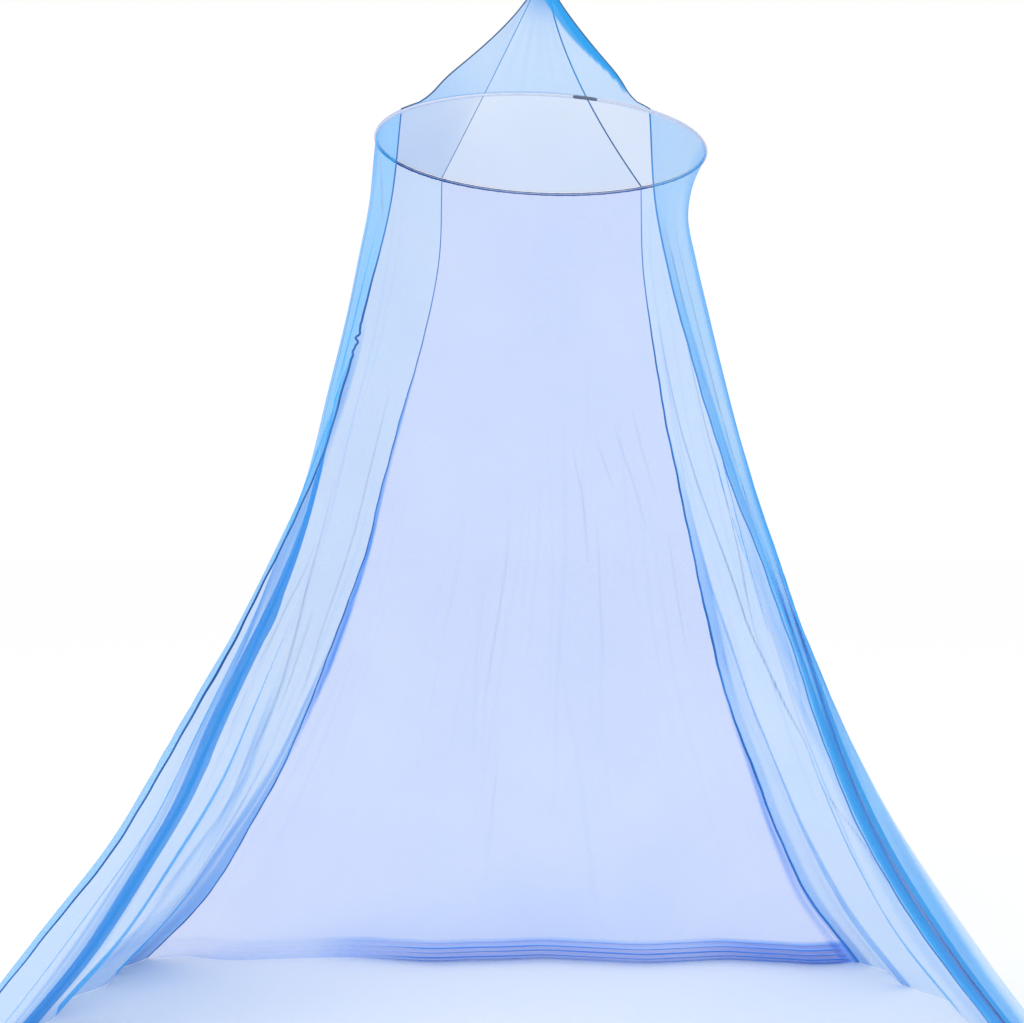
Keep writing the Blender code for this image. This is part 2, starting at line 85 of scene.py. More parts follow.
# Crown cap and hanging loop
CAP_T = 0.003
CAP_FOOT = 0.3111
CAP_STEPS = 97
CAP_CRIMP = 0.025
CAP_CRIMPS = 24
CAP_CRIMP_R = 0.022
# (radius, height)
CAP_ROWS = (
    (0, 0.0032), (0.004, 0.0031), (0.01, 0.0029), (0.016, 0.0027), (0.0195, 0.0024), (0.0212, 0.0016),
    (0.022, 0.0004), (0.0224, -0.0022),
)
LOOP_R = 0.001425
LOOP_H = 0.049
LOOP_HALF_W = 0.009
LOOP_FEET = 0.003
LOOP_GAP = 0.0005  # between the cap and the loop's feet
LOOP_SUNK = 0.0004
LOOP_LEGS = ((0.0, 0.010), (0.001, 0.020))  # outwards and upwards from the feet
LOOP_TURN = (-50.0, 230.0, 60)  # degrees round its top, and how many points
LOOP_STEPS = 240
LOOP_SIDES = 12

# Skirt
SKIRT_DROP = 1.656
EDGE_QUIET = 0.03
FOLDS_FULL = 1.40
SKIRT_ROWS = 241
BACK_COLS = 260

SEAM_NAMES = ("near_left", "far_left", "far_right", "near_right")
SEAM_COLUMNS = ("drop", *(name + axis for name in SEAM_NAMES for axis in ("_x", "_y")))
SEAM_ROWS = (
    (0, -0.24, -0.18, -0.193, 0.23, 0.206, 0.218, 0.175, -0.244),
    (0.15, -0.256, -0.19, -0.2, 0.255, 0.213, 0.247, 0.184, -0.246),
    (0.3, -0.29, -0.205, -0.232, 0.283, 0.236, 0.272, 0.214, -0.251),
    (0.45, -0.328, -0.22, -0.278, 0.308, 0.263, 0.294, 0.254, -0.259),
    (0.6, -0.373, -0.235, -0.322, 0.331, 0.297, 0.318, 0.299, -0.268),
    (0.75, -0.441, -0.248, -0.362, 0.355, 0.331, 0.342, 0.355, -0.278),
    (0.9, -0.514, -0.265, -0.42, 0.38, 0.367, 0.366, 0.405, -0.291),
    (1.05, -0.596, -0.286, -0.479, 0.404, 0.408, 0.392, 0.452, -0.306),
    (1.2, -0.681, -0.31, -0.545, 0.43, 0.467, 0.419, 0.514, -0.326),
    (1.35, -0.796, -0.335, -0.63, 0.459, 0.527, 0.446, 0.605, -0.346),
    (1.5, -0.915, -0.365, -0.725, 0.49, 0.602, 0.478, 0.72, -0.37),
    (1.656, -1.038, -0.4, -0.874, 0.545, 0.722, 0.515, 0.858, -0.4),
)
BOW_COLUMNS = ("drop", "left", "back", "right")
BOW_ROWS = (
    (0, 1, 1, 1), (0.04, 1.02, 0.92, 0.82), (0.1, 1.04, 0.8, 0.69), (0.2, 1.08, 0.64, 0.73),
    (0.3, 1.02, 0.5, 0.77), (0.5, 0.92, 0.35, 0.79), (0.7, 0.72, 0.25, 0.78), (0.85, 0.6, 0.2, 0.8),
    (1, 0.57, 0.16, 0.85), (1.2, 0.48, 0.1, 0.8), (1.656, 0.38, 0.04, 0.74),
)

# Soft folds: (place at the hoop, place at the hem, half-width as a share of the panel, height, drop it begins at)
LEFT_FOLDS = (
    (0.05, 0.05, 0.045, 0.018, 0.45), (0.18, 0.2, 0.05, -0.014, 0.5), (0.62, 0.6, 0.045, -0.016, 0.4),
    (0.72, 0.7, 0.05, 0.018, 0.2), (0.82, 0.81, 0.04, -0.014, 0.5), (0.93, 0.92, 0.035, 0.016, 0.35),
)
RIGHT_FOLDS = (
    (0.16, 0.2, 0.08, 0.062, 0.8), (0.34, 0.36, 0.05, -0.014, 0.6), (0.5, 0.47, 0.05, 0.02, 0.3),
    (0.62, 0.6, 0.05, -0.016, 0.2), (0.74, 0.72, 0.045, 0.018, 0.4), (0.85, 0.84, 0.04, -0.014, 0.35),
    (0.95, 0.94, 0.03, 0.014, 0.45),
)
BACK_FOLDS = (
    (0.06, 0.05, 0.03, 0.014, 0.4), (0.14, 0.13, 0.04, -0.012, 0.6), (0.3, 0.28, 0.05, 0.012, 0.5),
    (0.42, 0.4, 0.045, -0.012, 0.7), (0.55, 0.56, 0.05, 0.014, 0.45), (0.68, 0.7, 0.045, -0.012, 0.6),
    (0.8, 0.82, 0.045, 0.014, 0.35), (0.93, 0.94, 0.035, -0.012, 0.3),
)

# Deep pleats, as in the solids: where they lie, how wide they double the cloth, where they begin, the solid's
# columns before and after them, and how far they sway off their line
LEFT_PLEAT = dict(top_place=0.53, hem_place=0.505, top_share=0.16, hem_share=0.04, width=0.044, spacing=0.007,
                  begin=0.36, before=9, after=9, sway=-0.088)
RIGHT_PLEAT = dict(top_place=0.115, hem_place=0.085, top_share=0.12, hem_share=0.04, width=0.032, spacing=0.0055,
                   begin=0.60, before=4, after=14, sway=0.0)
PLEAT_SETTLED = 1.05
PLEAT_SWAYS = 1.02  # drop at which a pleat sways furthest, and how far up and down that reaches
PLEAT_SWAY_REACH = 0.34
PLEAT_OPENS = 0.35
PLEAT_SOFTEN = 2  # steps either side over which its turns are rounded, and how often
PLEAT_SOFTENINGS = 2
# along: in doubled widths; out: in layer spacings
PLEAT_PATH = (
    (-0.4, -1.3), (0, -1.55), (0.35, -1.7), (0.56, -1.7), (0.56, -1.25), (-0.56, -0.75), (-0.56, -0.25),
    (0.56, 0.25), (0.56, 0.75), (-0.56, 1.25), (-0.56, 1.7), (0.1, 1.6), (0.7, 1.1),
)
PLAIN_STEPS = 14  # columns of the fine sheet to one column of the solid
TURN_STEPS = 9

# Level folds of surplus cloth at the back hem
STACK_FOLDS = 4
STACK_PITCH = 0.0115
STACK_DEPTH = 0.011
STACK_BEGIN = 0.24
STACK_GROWTH = 0.17
STACK_LEAST = 0.12  # share of the depth left of where the folds begin
STACK_STEPS = 7  # fine rows to one leg of the stack
STACK_GAP = 0.004  # between the plain cloth's last row and the stack
STACK_WAVER = 0.15
STACK_WAVES = (9, 1.7)  # along the hem, and from one leg to the next
# two rises along the hem: from and to which place, thread before and after
STACK_THREAD = ((0.20, 0.30, 0.05, 0.22), (0.76, 0.88, 0.0, 0.15))

SOFTEN = 5  # rows either side over which a line's corners are rounded
SHADED_CREASE_UNDER = 0.0035  # creases with a half-width under this get painted shade in slate blue
BACK_CREASE_SHADE = 0.45  # and how much of that painted shade the back panel's faint ones take

# Narrow creases: (half-width in metres, height, extra thread, (drop, place) along it)
LEFT_CREASES = (
    (0.0034, 0.0016, 0.24, ((0.04, 0.208), (0.12, 0.204), (0.24, 0.19), (0.36, 0.164), (0.48, 0.142),
     (0.62, 0.075))),
    (0.0026, 0.0012, 0.14, ((0.05, 0.165), (0.12, 0.09), (0.19, 0.018))),
    (0.0024, 0.0016, 0.22, ((0.72, 0.625), (0.78, 0.6), (0.85, 0.56), (0.9, 0.554), (0.96, 0.535))),
    (0.0026, 0.002, 0.28, ((0.6, 0.68), (0.76, 0.696), (0.89, 0.748), (1, 0.774), (1.09, 0.778),
     (1.16, 0.768))),
    (0.0022, 0.0014, 0.2, ((0.86, 0.785), (0.9, 0.79), (0.97, 0.796), (1, 0.8), (1.07, 0.8))),
    (0.0024, 0.0018, 0.24, ((0.42, 0.9), (0.65, 0.912), (0.76, 0.9), (0.86, 0.92), (0.94, 0.934),
     (1.05, 0.954))),
    (0.007, 0.0024, 0.12, ((1.2, 0.784), (1.31, 0.768), (1.35, 0.758), (1.39, 0.752), (1.46, 0.73))),
    (0.007, 0.0024, 0.12, ((1.3, 0.772), (1.42, 0.752), (1.48, 0.75), (1.58, 0.744))),
    (0.003, 0.0018, 0.18, ((1.16, 0.86), (1.26, 0.85), (1.36, 0.835), (1.5, 0.8))),
    (0.003, 0.0018, 0.16, ((1.22, 0.64), (1.34, 0.65), (1.46, 0.64), (1.6, 0.66))),
)
RIGHT_CREASES = (
    (0.002, 0.002, 0.46, ((0.26, 0.95), (0.32, 0.948), (0.48, 0.928), (0.6, 0.896), (0.71, 0.838), (0.8, 0.812),
     (0.89, 0.8), (0.98, 0.764), (1.06, 0.744), (1.13, 0.7), (1.2, 0.6), (1.28, 0.54), (1.38, 0.53))),
    (0.0018, 0.0016, 0.38, ((0.26, 0.785), (0.36, 0.78), (0.5, 0.764), (0.59, 0.746), (0.68, 0.748),
     (0.79, 0.766), (0.88, 0.78), (0.96, 0.772))),
    (0.003, 0.0016, 0.26, ((0.16, 0.12), (0.36, 0.115), (0.48, 0.105), (0.6, 0.092), (0.72, 0.07))),
    (0.0024, 0.0012, 0.16, ((0.17, 0.036), (0.24, 0.048), (0.34, 0.036))),
    (0.004, 0.002, 0.2, ((0.9, 0.7), (1, 0.64), (1.1, 0.6), (1.24, 0.59), (1.4, 0.6))),
)
BACK_CREASES = (
    (0.0018, 0.0012, 0.09, ((0.66, 0.436), (0.86, 0.428), (1.08, 0.414))),
    (0.0018, 0.0012, 0.08, ((1.17, 0.454), (1.34, 0.458), (1.55, 0.458))),
    (0.0018, 0.0012, 0.11, ((0.51, 0.64), (0.62, 0.672), (0.77, 0.676))),
    (0.0018, 0.0012, 0.11, ((0.5, 0.73), (0.54, 0.75), (0.6, 0.778))),
    (0.0018, 0.0012, 0.1, ((0.46, 0.796), (0.58, 0.844), (0.69, 0.87))),
    (0.0018, 0.0012, 0.1, ((0.43, 0.876), (0.52, 0.892), (0.61, 0.912))),
    (0.0018, 0.0012, 0.08, ((0.65, 0.71), (0.8, 0.708), (0.99, 0.708))),
    (0.0018, 0.0012, 0.09, ((0.69, 0.932), (0.82, 0.928), (0.96, 0.924))),
)

# Faint streaks: how many and how much extra thread; the rest goes for both
CURTAIN_STREAKS = (46, 0.08)
BACK_STREAKS = (40, 0.030)
BACK_STREAKS_BEGIN = 0.3
STREAKS_END = 0.95
STREAK_LENGTH = (0.25, 0.8)
STREAK_LEAN = 0.014
STREAK_HALF_WIDTH = (0.0018, 0.0045)
STREAK_HEIGHT = 0.0014
STREAK_SHARE = (0.2, 1.0)

# Gathers, where the cloth is bunched: (drop, the two places it lies between, extra thread)
LEFT_GATHERS = {
    "core": (
        (0.34, 0.59, 0.63, 0), (0.39, 0.545, 0.65, 0.36), (0.48, 0.465, 0.615, 0.26), (0.6, 0.34, 0.55, 0.26),
        (0.75, 0.18, 0.475, 0.28), (0.83, 0.24, 0.478, 0.24), (0.89, 0.3, 0.48, 0.16), (0.95, 0.32, 0.47, 0.14),
        (1.08, 0.34, 0.465, 0.14), (1.16, 0.36, 0.47, 0.12), (1.24, 0.4, 0.49, 0.12), (1.4, 0.45, 0.545, 0.14),
        (1.66, 0.43, 0.56, 0.16),
    ),
    "flank": (
        (0.76, 0.2, 0.33, 0), (0.86, 0.22, 0.33, 0.24), (1, 0.215, 0.35, 0.3), (1.1, 0.235, 0.365, 0.24),
        (1.19, 0.24, 0.385, 0.2), (1.25, 0.29, 0.43, 0.2), (1.35, 0.33, 0.47, 0.2), (1.66, 0.36, 0.49, 0.18),
    ),
    "front strip": (
        (0.1, -0.01, 0.33, 0), (0.3, -0.01, 0.34, 0.06), (0.46, -0.01, 0.34, 0.08), (0.6, -0.01, 0.2, 0),
    ),
    "low wash": (
        (1.1, 0.58, 0.9, 0), (1.24, 0.57, 0.9, 0.06), (1.4, 0.56, 0.88, 0.08), (1.66, 0.56, 0.86, 0.05),
    ),
    "soft fold": (
        (0.98, 0.752, 0.764, 0), (1.06, 0.748, 0.782, 0.14), (1.15, 0.75, 0.784, 0.22),
        (1.22, 0.762, 0.796, 0.2), (1.3, 0.776, 0.806, 0.12), (1.4, 0.78, 0.812, 0),
    ),
    "beside the far seam": (
        (0.93, 0.99, 1.01, 0), (1, 0.978, 1.01, 0.3), (1.14, 0.96, 1.01, 0.34), (1.26, 0.945, 1.01, 0.3),
        (1.38, 0.925, 1.01, 0.24), (1.5, 0.895, 1.01, 0.2), (1.66, 0.86, 1.01, 0.2),
    ),
    "drawn-up corner": (
        (1.22, 0.93, 1.01, 0), (1.34, 0.88, 1.01, 0.1), (1.42, 0.8, 1.01, 0.15), (1.48, 0.78, 1.01, 0.2),
        (1.54, 0.74, 1.01, 0.24), (1.6, 0.6, 1.01, 0.26), (1.66, 0.45, 1.01, 0.28),
    ),
}
RIGHT_GATHERS = {
    "beside the near seam": (
        (0.16, -0.01, 0.03, 0), (0.3, -0.01, 0.06, 0.2), (0.6, -0.01, 0.075, 0.32), (0.8, -0.01, 0.09, 0.28),
        (0.95, -0.01, 0.17, 0.22), (1.08, -0.01, 0.172, 0.2), (1.15, -0.01, 0.16, 0.24),
        (1.22, -0.01, 0.152, 0.28), (1.3, -0.01, 0.142, 0.34), (1.45, -0.01, 0.13, 0.34),
        (1.66, -0.01, 0.122, 0.32),
    ),
    "outer turn": (
        (0.54, 0.2, 0.55, 0), (0.62, 0.176, 0.529, 0.08), (0.72, 0.126, 0.508, 0.2), (0.84, 0.09, 0.43, 0.22),
        (0.96, 0.15, 0.28, 0.2), (1.06, 0.18, 0.24, 0),
    ),
    "thinner near the hoop": (
        (0, -0.01, 0.8, -0.09), (0.2, -0.01, 0.8, -0.08), (0.36, 0.07, 0.7, -0.08), (0.54, 0.08, 0.56, -0.12),
        (0.64, 0.08, 0.4, -0.1), (0.76, 0.1, 0.3, 0),
    ),
    "behind the near seam": (
        (0.54, 0.52, 0.68, 0), (0.68, 0.51, 0.71, 0.12), (0.86, 0.5, 0.722, 0.16), (0.94, 0.48, 0.658, 0.16),
        (1.03, 0.46, 0.594, 0.15), (1.11, 0.44, 0.56, 0.14), (1.3, 0.44, 0.56, 0.12), (1.66, 0.44, 0.56, 0.12),
    ),
    "outer flap": (
        (1, 0.2, 0.42, 0), (1.14, 0.18, 0.44, -0.16), (1.3, 0.15, 0.44, -0.2), (1.66, 0.13, 0.44, -0.22),
    ),
    "beside the far seam": (
        (0.5, 0.985, 1.01, 0), (0.62, 0.974, 1.01, 0.14), (0.73, 0.962, 1.01, 0.26), (0.82, 0.958, 1.01, 0.26),
        (0.92, 0.962, 1.01, 0.2), (1.02, 0.972, 1.01, 0.14), (1.66, 0.965, 1.01, 0.18),
    ),
    "second strand": (
        (0.74, 0.958, 0.974, 0), (0.84, 0.946, 0.962, 0.26), (0.94, 0.918, 0.938, 0.3),
        (1.03, 0.892, 0.912, 0.34), (1.15, 0.85, 0.87, 0.34), (1.25, 0.84, 0.86, 0.32),
        (1.39, 0.822, 0.844, 0.3), (1.52, 0.812, 0.838, 0.3), (1.66, 0.81, 0.842, 0.34),
    ),
    "between seam and strand": (
        (0.8, 0.955, 1.01, 0), (0.95, 0.93, 1.01, 0.1), (1.1, 0.88, 1.01, 0.08), (1.3, 0.845, 1.01, 0.06),
        (1.66, 0.825, 1.01, 0.14),
    ),
}
BACK_GATHERS = {
    "beside the left seam": (
        (0.28, -0.01, 0.004, 0), (0.45, -0.01, 0.011, 0.3), (0.76, -0.01, 0.013, 0.38),
        (0.88, -0.01, 0.022, 0.38), (0.94, -0.01, 0.026, 0.36), (1.03, -0.01, 0.018, 0.34),
        (1.12, -0.01, 0.01, 0.16), (1.24, -0.01, 0.004, 0),
    ),
    "beside the right seam": (
        (1, 0.996, 1.01, 0), (1.1, 0.993, 1.01, 0.26), (1.27, 0.986, 1.01, 0.38), (1.4, 0.984, 1.01, 0.34),
        (1.5, 0.98, 1.01, 0.26), (1.66, 0.976, 1.01, 0.14),
    ),
}
BACK_SEEDS = (5, 7)  # of its streaks and of its gathers' strands
GATHER_SOFTEN = 11  # rows either side over which a gather's edges are rounded
GATHER_STARTS = (-0.14, 0.18)  # shares of the way across it between which it thickens and thins out
GATHER_STOPS = (0.86, 1.10)
GATHER_RISE = 0.006  # height of a gather for each unit of extra thread
STRANDS = 5  # darker and lighter strands along each gather
INSIDE = (0.05, 0.95)  # places of strands and of fine creases
STRAND_SWAY = 0.05
STRAND_WAVES = (3, 8)
STRAND_PHASE = (0, 6)
STRAND_WIDTH = (0.03, 0.09)
STRAND_THREAD = (-0.65, 0.55)
CURTAIN_FULLNESS = 1.1  # a curtain's width for each unit between its seams

# Outermost turn of a side curtain, where the cloth bends back: (drop, extra thread)
LEFT_TURN = (
    (0, 0.2), (0.1, 0.05), (0.2, 0), (1.66, 0),
)
RIGHT_TURN = (
    (0, 0.2), (0.3, 0.3), (0.46, 0.36), (0.62, 0.34), (0.76, 0.14), (0.9, 0), (1.66, 0),
)
TURN_DEPTH = 0.007  # how far in from the outermost line the turn reaches
TURN_LEAN = (0.13, 0.21)  # how far towards the front it lies, at the hoop and gained down to the hem

# Seams of the skirt: (drop, how wide, how light)
SEAM_LOOKS = {
    "near_left": (
        (0, 0.6, 0.42), (0.22, 0.7, 0.25), (0.34, 1, 0.02), (0.45, 1, 0), (0.6, 0.75, 0), (0.85, 0.9, 0),
        (0.94, 1.1, 0), (1.06, 0.85, 0), (1.22, 0.8, 0.04), (1.38, 0.65, 0.12), (1.66, 0.6, 0.18),
    ),
    "far_left": ((0, 0.44, 0.42), (0.4, 0.56, 0.32), (0.9, 0.75, 0.1), (1.2, 0.9, 0.3), (1.66, 0.8, 0.2)),
    "far_right": (
        (0, 0.46, 0.46), (0.2, 0.6, 0.36), (0.36, 0.92, 0.2), (0.6, 1.15, 0.25), (0.78, 1.05, 0.35),
        (0.92, 1.45, 0.28), (1.04, 1.1, 0.45), (1.2, 1.5, 0.28), (1.34, 1.2, 0.45), (1.5, 1.45, 0.38),
        (1.66, 1.4, 0.4),
    ),
    "near_right": ((0, 0.65, 0.5), (0.3, 0.75, 0.52), (0.6, 0.7, 0.55), (0.9, 0.6, 0.5), (1.66, 0.55, 0.35)),
}
SEAM_RADII = (0.0019, 0.0014)
SEAM_SIDES = 8
SEAM_STEPS = 700
SEAM_END = 0.0012  # how far above the hem the seams stop
SEAM_WANDER = ((0.0006, 37, 0.0), (0.0004, 101, 1.0))
WANDER_BEGINS = (0.1, 0.5)
PUCKER_DROP = 0.388
PUCKER_REACH = 0.022
PUCKER_SWING = 0.0024
PUCKER_WAVES = ((1.0, 300, 0.0), (0.6, 510, 1.0))

# Gores: name, the two ridges, extra thread at the foot, height share where that ends, extra thread above it
GORE_TABLE = (
    ("dome_left", "near_left", "far_left", 0.26, 0.50, 0.06),
    ("dome_back", "far_left", "far_right", 0.12, 0.90, -0.01),
    ("dome_right", "far_right", "near_right", 0.08, 0.45, 0.05),
    ("dome_front", "near_right", "near_left", 0.00, 0.10, -0.01),
)
GORE_FADE_START = 0.02
GORE_SEED = 40
CROWN_THREAD = 0.30  # where the gores are drawn together, from this height share up
CROWN_GATHERS = 0.78
CROWN_CREASES = 9  # fine creases of each gore below the crown
CROWN_CREASE_HALF = 0.006
CROWN_CREASE_SHARES = (0.35, 0.9)
CROWN_CREASE_THREAD = (0.02, 0.08)
RIDGE_BAND = 0.025  # how far in from the near right ridge the cloth is bunched, near the crown
RIDGE_BAND_LEAST = 0.0005
RIDGE_BAND_GROWS = (-0.10, 0.65)
RIDGE_BAND_EDGE = (0.85, 1.1)
RIDGE_BAND_STARTS = (0.02, 0.20)
RIDGE_BAND_THREAD = 0.72
# (radius, how light)
RIDGE_LOOKS = dict(near_left=(0.0013, 0.0), far_left=(0.0008, 0.7), far_right=(0.0014, 0.0), near_right=(0.001, 0.0))

# Gathered casing: (degrees round from the front, extra thread)
CASING_ROWS = (
    (-180, 0.48), (-148, 0.5), (-142, 0.68), (-136, 0.66), (-102, 0.66), (-95, 0.3), (-88, -0.06), (-54, -0.1),
    (0, -0.14), (34, -0.12), (84, -0.04), (96, 0.3), (130, 0.44), (136, 0.62), (142, 0.46), (180, 0.48),
)


def column(rows, names, name):
    """One named column of a table, as an array."""
    return np.array([row[names.index(name)] for row in rows])


def read_off(rows, at):
    """The other columns of a table at given values of its first one, straight between two rows."""
    knots, *columns = np.array(rows).T
    return [np.interp(at, knots, values) for values in columns]


def curve(at, knots, values):
    """Smooth curve through a table's rows: a cubic between each two, slopes taken from the neighbours."""
    at = np.asarray(at, dtype=float)
    slopes = np.gradient(values, knots)
    i = np.clip(np.searchsorted(knots, at, side="right") - 1, 0, len(knots) - 2)
    width = knots[i + 1] - knots[i]
    t = (at - knots[i]) / width
    start = (2 * t ** 3 - 3 * t ** 2 + 1) * values[i] + (t ** 3 - 2 * t ** 2 + t) * width * slopes[i]
    end = (3 * t ** 2 - 2 * t ** 3) * values[i + 1] + (t ** 3 - t ** 2) * width * slopes[i + 1]
    return start + end


def ease(value, low, high):
    """0 below low, 1 above high, and 3 t squared less 2 t cubed between."""
    t = np.clip((value - low) / (high - low), 0.0, 1.0)
    return t * t * (3 - 2 * t)


def bell(offset):
    """1 in the middle, falling with the square of the offset."""
    return np.exp(-offset ** 2)


def ripples(at, terms):
    """Sum of sines, each of a (depth, waves, phase) row."""
    return sum(depth * np.sin(waves * at + phase) for depth, waves, phase in terms)


def rounded(values, reach):
    """Mean of each value and so many neighbours either side."""
    whole = 2 * reach + 1
    return np.convolve(np.pad(values, reach, mode="edge"), np.ones(whole) / whole, mode="valid")


def unit(vectors):
    """Each vector over its own length."""
    return vectors / np.linalg.norm(vectors, axis=-1, keepdims=True)


def hoop_height(x):
    """Height of the tilted hoop at a distance sideways."""
    return -HOOP_TILT * x


def seam_plan(name, drops):
    """X and Y of a seam at each drop. On the hoop it is moved onto the hoop's circle."""
    knots = column(SEAM_ROWS, SEAM_COLUMNS, "drop")
    x = column(SEAM_ROWS, SEAM_COLUMNS, name + "_x")
    y = column(SEAM_ROWS, SEAM_COLUMNS, name + "_y")
    grow = HOOP_R / np.hypot(x[0], y[0])
    x[0] *= grow
    y[0] *= grow
    return np.stack([curve(drops, knots, x), curve(drops, knots, y)], axis=-1)


def seam_angle(name):
    """Angle round the hoop at which a seam starts, from -Y towards +X."""
    x, y = seam_plan(name, np.array([0.0]))[0]
    return np.arctan2(x, -y)


def arc_plan(first, second, places):
    """The hoop's own arc between two seams, in plan."""
    a = seam_angle(first)
    b = seam_angle(second)
    if first == "near_left" or (first, second) == ("far_left", "far_right"):
        a = a % (2 * np.pi)
        b = b % (2 * np.pi)
    angles = a + (b - a) * places
    return HOOP_R * np.stack([np.sin(angles), -np.cos(angles)], axis=-1)


def edge_window(places):
    """Nothing at a panel's two side edges and 1 inside them."""
    return ease(np.minimum(places, 1 - places), 0.0, EDGE_QUIET)


def fold_heights(folds, places, drops):
    """Sum of the soft folds: each is its height times a bell curve of the distance from its centre line."""
    total = np.zeros_like(places)
    for top_place, hem_place, half_width, height, begin in folds:
        centre = top_place + (hem_place - top_place) * drops / SKIRT_DROP
        depth = height * ease(drops, begin, FOLDS_FULL)
        total += depth[:, None] * bell((places - centre[:, None]) / half_width)
    return total * edge_window(places)


def along_line(rows, drops):
    """Place of a line of (drop, place) rows at each drop, with rounded corners, and its strength: the root of a half
    sine from end to end."""
    knots, places = np.array(rows).T
    share = np.clip((drops - knots[0]) / (knots[-1] - knots[0]), 0.0, 1.0)
    return rounded(np.interp(drops, knots, places), SOFTEN), np.sin(np.pi * share) ** 0.5


def crease_field(creases, places, drops, width):
    """Heights, extra thread and painted shade of narrow creases: a bell curve of the distance from each line."""
    heights, threads, shaded_crease = (np.zeros_like(places) for _ in range(3))
    for half_width, height, thread, points in creases:
        line, strength = along_line(points, drops)
        near = strength[:, None] * bell((places - line[:, None]) * width[:, None] / half_width)
        heights += height * near
        threads += thread * near
        if half_width < SHADED_CREASE_UNDER:
            shaded_crease = np.maximum(shaded_crease, near)
    return heights, threads, shaded_crease


def streaks(seed, look, places, drops, width, begin=0.0):
    """Many faint creases that fall with the cloth, each with its own place, lean, length and depth."""
    draw = np.random.default_rng(seed)
    count, thread = look
    rows = []
    for _ in range(count):
        place = draw.uniform(0.0, 1.0)
        top = draw.uniform(begin, STREAKS_END)
        foot = top + draw.uniform(*STREAK_LENGTH)
        lean, bend = draw.normal(0.0, STREAK_LEAN, 2)
        line = ((top, place), ((top + foot) / 2, place + lean + bend / 2), (foot, place + 2 * lean))
        rows.append((draw.uniform(*STREAK_HALF_WIDTH), draw.normal(0.0, STREAK_HEIGHT),
                     thread * draw.uniform(*STREAK_SHARE), line))
    return crease_field(rows, places, drops, width)[:2]


def gather_field(gathers, places, drops, seed):
    """Heights and extra thread of the gathers: even between the two edges and none just outside them, with a few
    strands along each, bell curves of the share of the way across it."""
    draw = np.random.default_rng(seed)
    thread = np.zeros_like(places)
    for rows in gathers.values():
        first, last, extra = (rounded(values, GATHER_SOFTEN)[:, None] for values in read_off(rows, drops))
        across = (places - first) / (last - first)
        strands = np.ones_like(places)
        for middle in draw.uniform(*INSIDE, STRANDS):
            sway = STRAND_SWAY * np.sin(drops * draw.uniform(*STRAND_WAVES) + draw.uniform(*STRAND_PHASE))
            aside = (across - middle - sway[:, None]) / draw.uniform(*STRAND_WIDTH)
            strands += draw.uniform(*STRAND_THREAD) * bell(aside)
        thread += extra * ease(across, *GATHER_STARTS) * (1 - ease(across, *GATHER_STOPS)) * strands
    return GATHER_RISE * thread, thread


def panel_grid(first, second, places, drops, bow, folds):
    """A hanging panel: straight between its seams, plus a share of the hoop's arc, plus the folds."""
    start = seam_plan(first, drops)
    end = seam_plan(second, drops)
    chord = start[:, None] + (end - start)[:, None] * places[..., None]
    arc = arc_plan(first, second, places)
    share = curve(drops, column(BOW_ROWS, BOW_COLUMNS, "drop"), column(BOW_ROWS, BOW_COLUMNS, bow))
    plan = chord + share[:, None, None] * (arc - start[0] - (end - start)[0] * places[..., None])
    out = unit(np.stack([(start - end)[:, 1], (end - start)[:, 0]], axis=-1))
    out *= np.sign(np.sum(out * (start + end) / 2, axis=1))[:, None]
    plan = plan + fold_heights(folds, places, drops)[..., None] * out[:, None]
    top = hoop_height(arc[..., 0]) - CASING_UNDER
    z = top * (1 - drops / SKIRT_DROP)[:, None] - drops[:, None]
    return np.concatenate([plan, z[..., None]], axis=-1), out


def pleat_steps(pleat):
    """Fine steps along a pleated panel, counted in the solid's own columns."""
    turns = len(PLEAT_PATH) - 1
    before = np.linspace(0, pleat["before"], PLAIN_STEPS * pleat["before"] + 1)[:-1]
    middle = np.linspace(0, turns, TURN_STEPS * turns + 1)[:-1] + pleat["before"]
    last = pleat["before"] + turns
    after = np.linspace(last, last + pleat["after"] - 1, PLAIN_STEPS * (pleat["after"] - 1) + 1)
    return np.concatenate([before, middle, after])


def pleated_places(pleat, steps, drops):
    """Even steps across a panel before, through and after the pleat, which drifts from its place at the hoop to its
    place at the hem and sways off that line by a bell curve of the drop."""
    drift = ease(drops, pleat["begin"], PLEAT_SETTLED)
    centre = pleat["top_place"] + (pleat["hem_place"] - pleat["top_place"]) * drift
    centre = centre + pleat["sway"] * bell((drops - PLEAT_SWAYS) / PLEAT_SWAY_REACH)
    share = pleat["top_share"] + (pleat["hem_share"] - pleat["top_share"]) * drift
    first = (centre - share / 2)[:, None]
    last = (centre + share / 2)[:, None]
    turns = len(PLEAT_PATH) - 1
    at = steps - pleat["before"]
    before = first * steps / pleat["before"]
    middle = first + (last - first) * at / turns
    after = last + (1 - last) * (at - turns) / (steps[-1] - pleat["before"] - turns)
    return np.where(at < 0, before, np.where(at <= turns, middle, after))


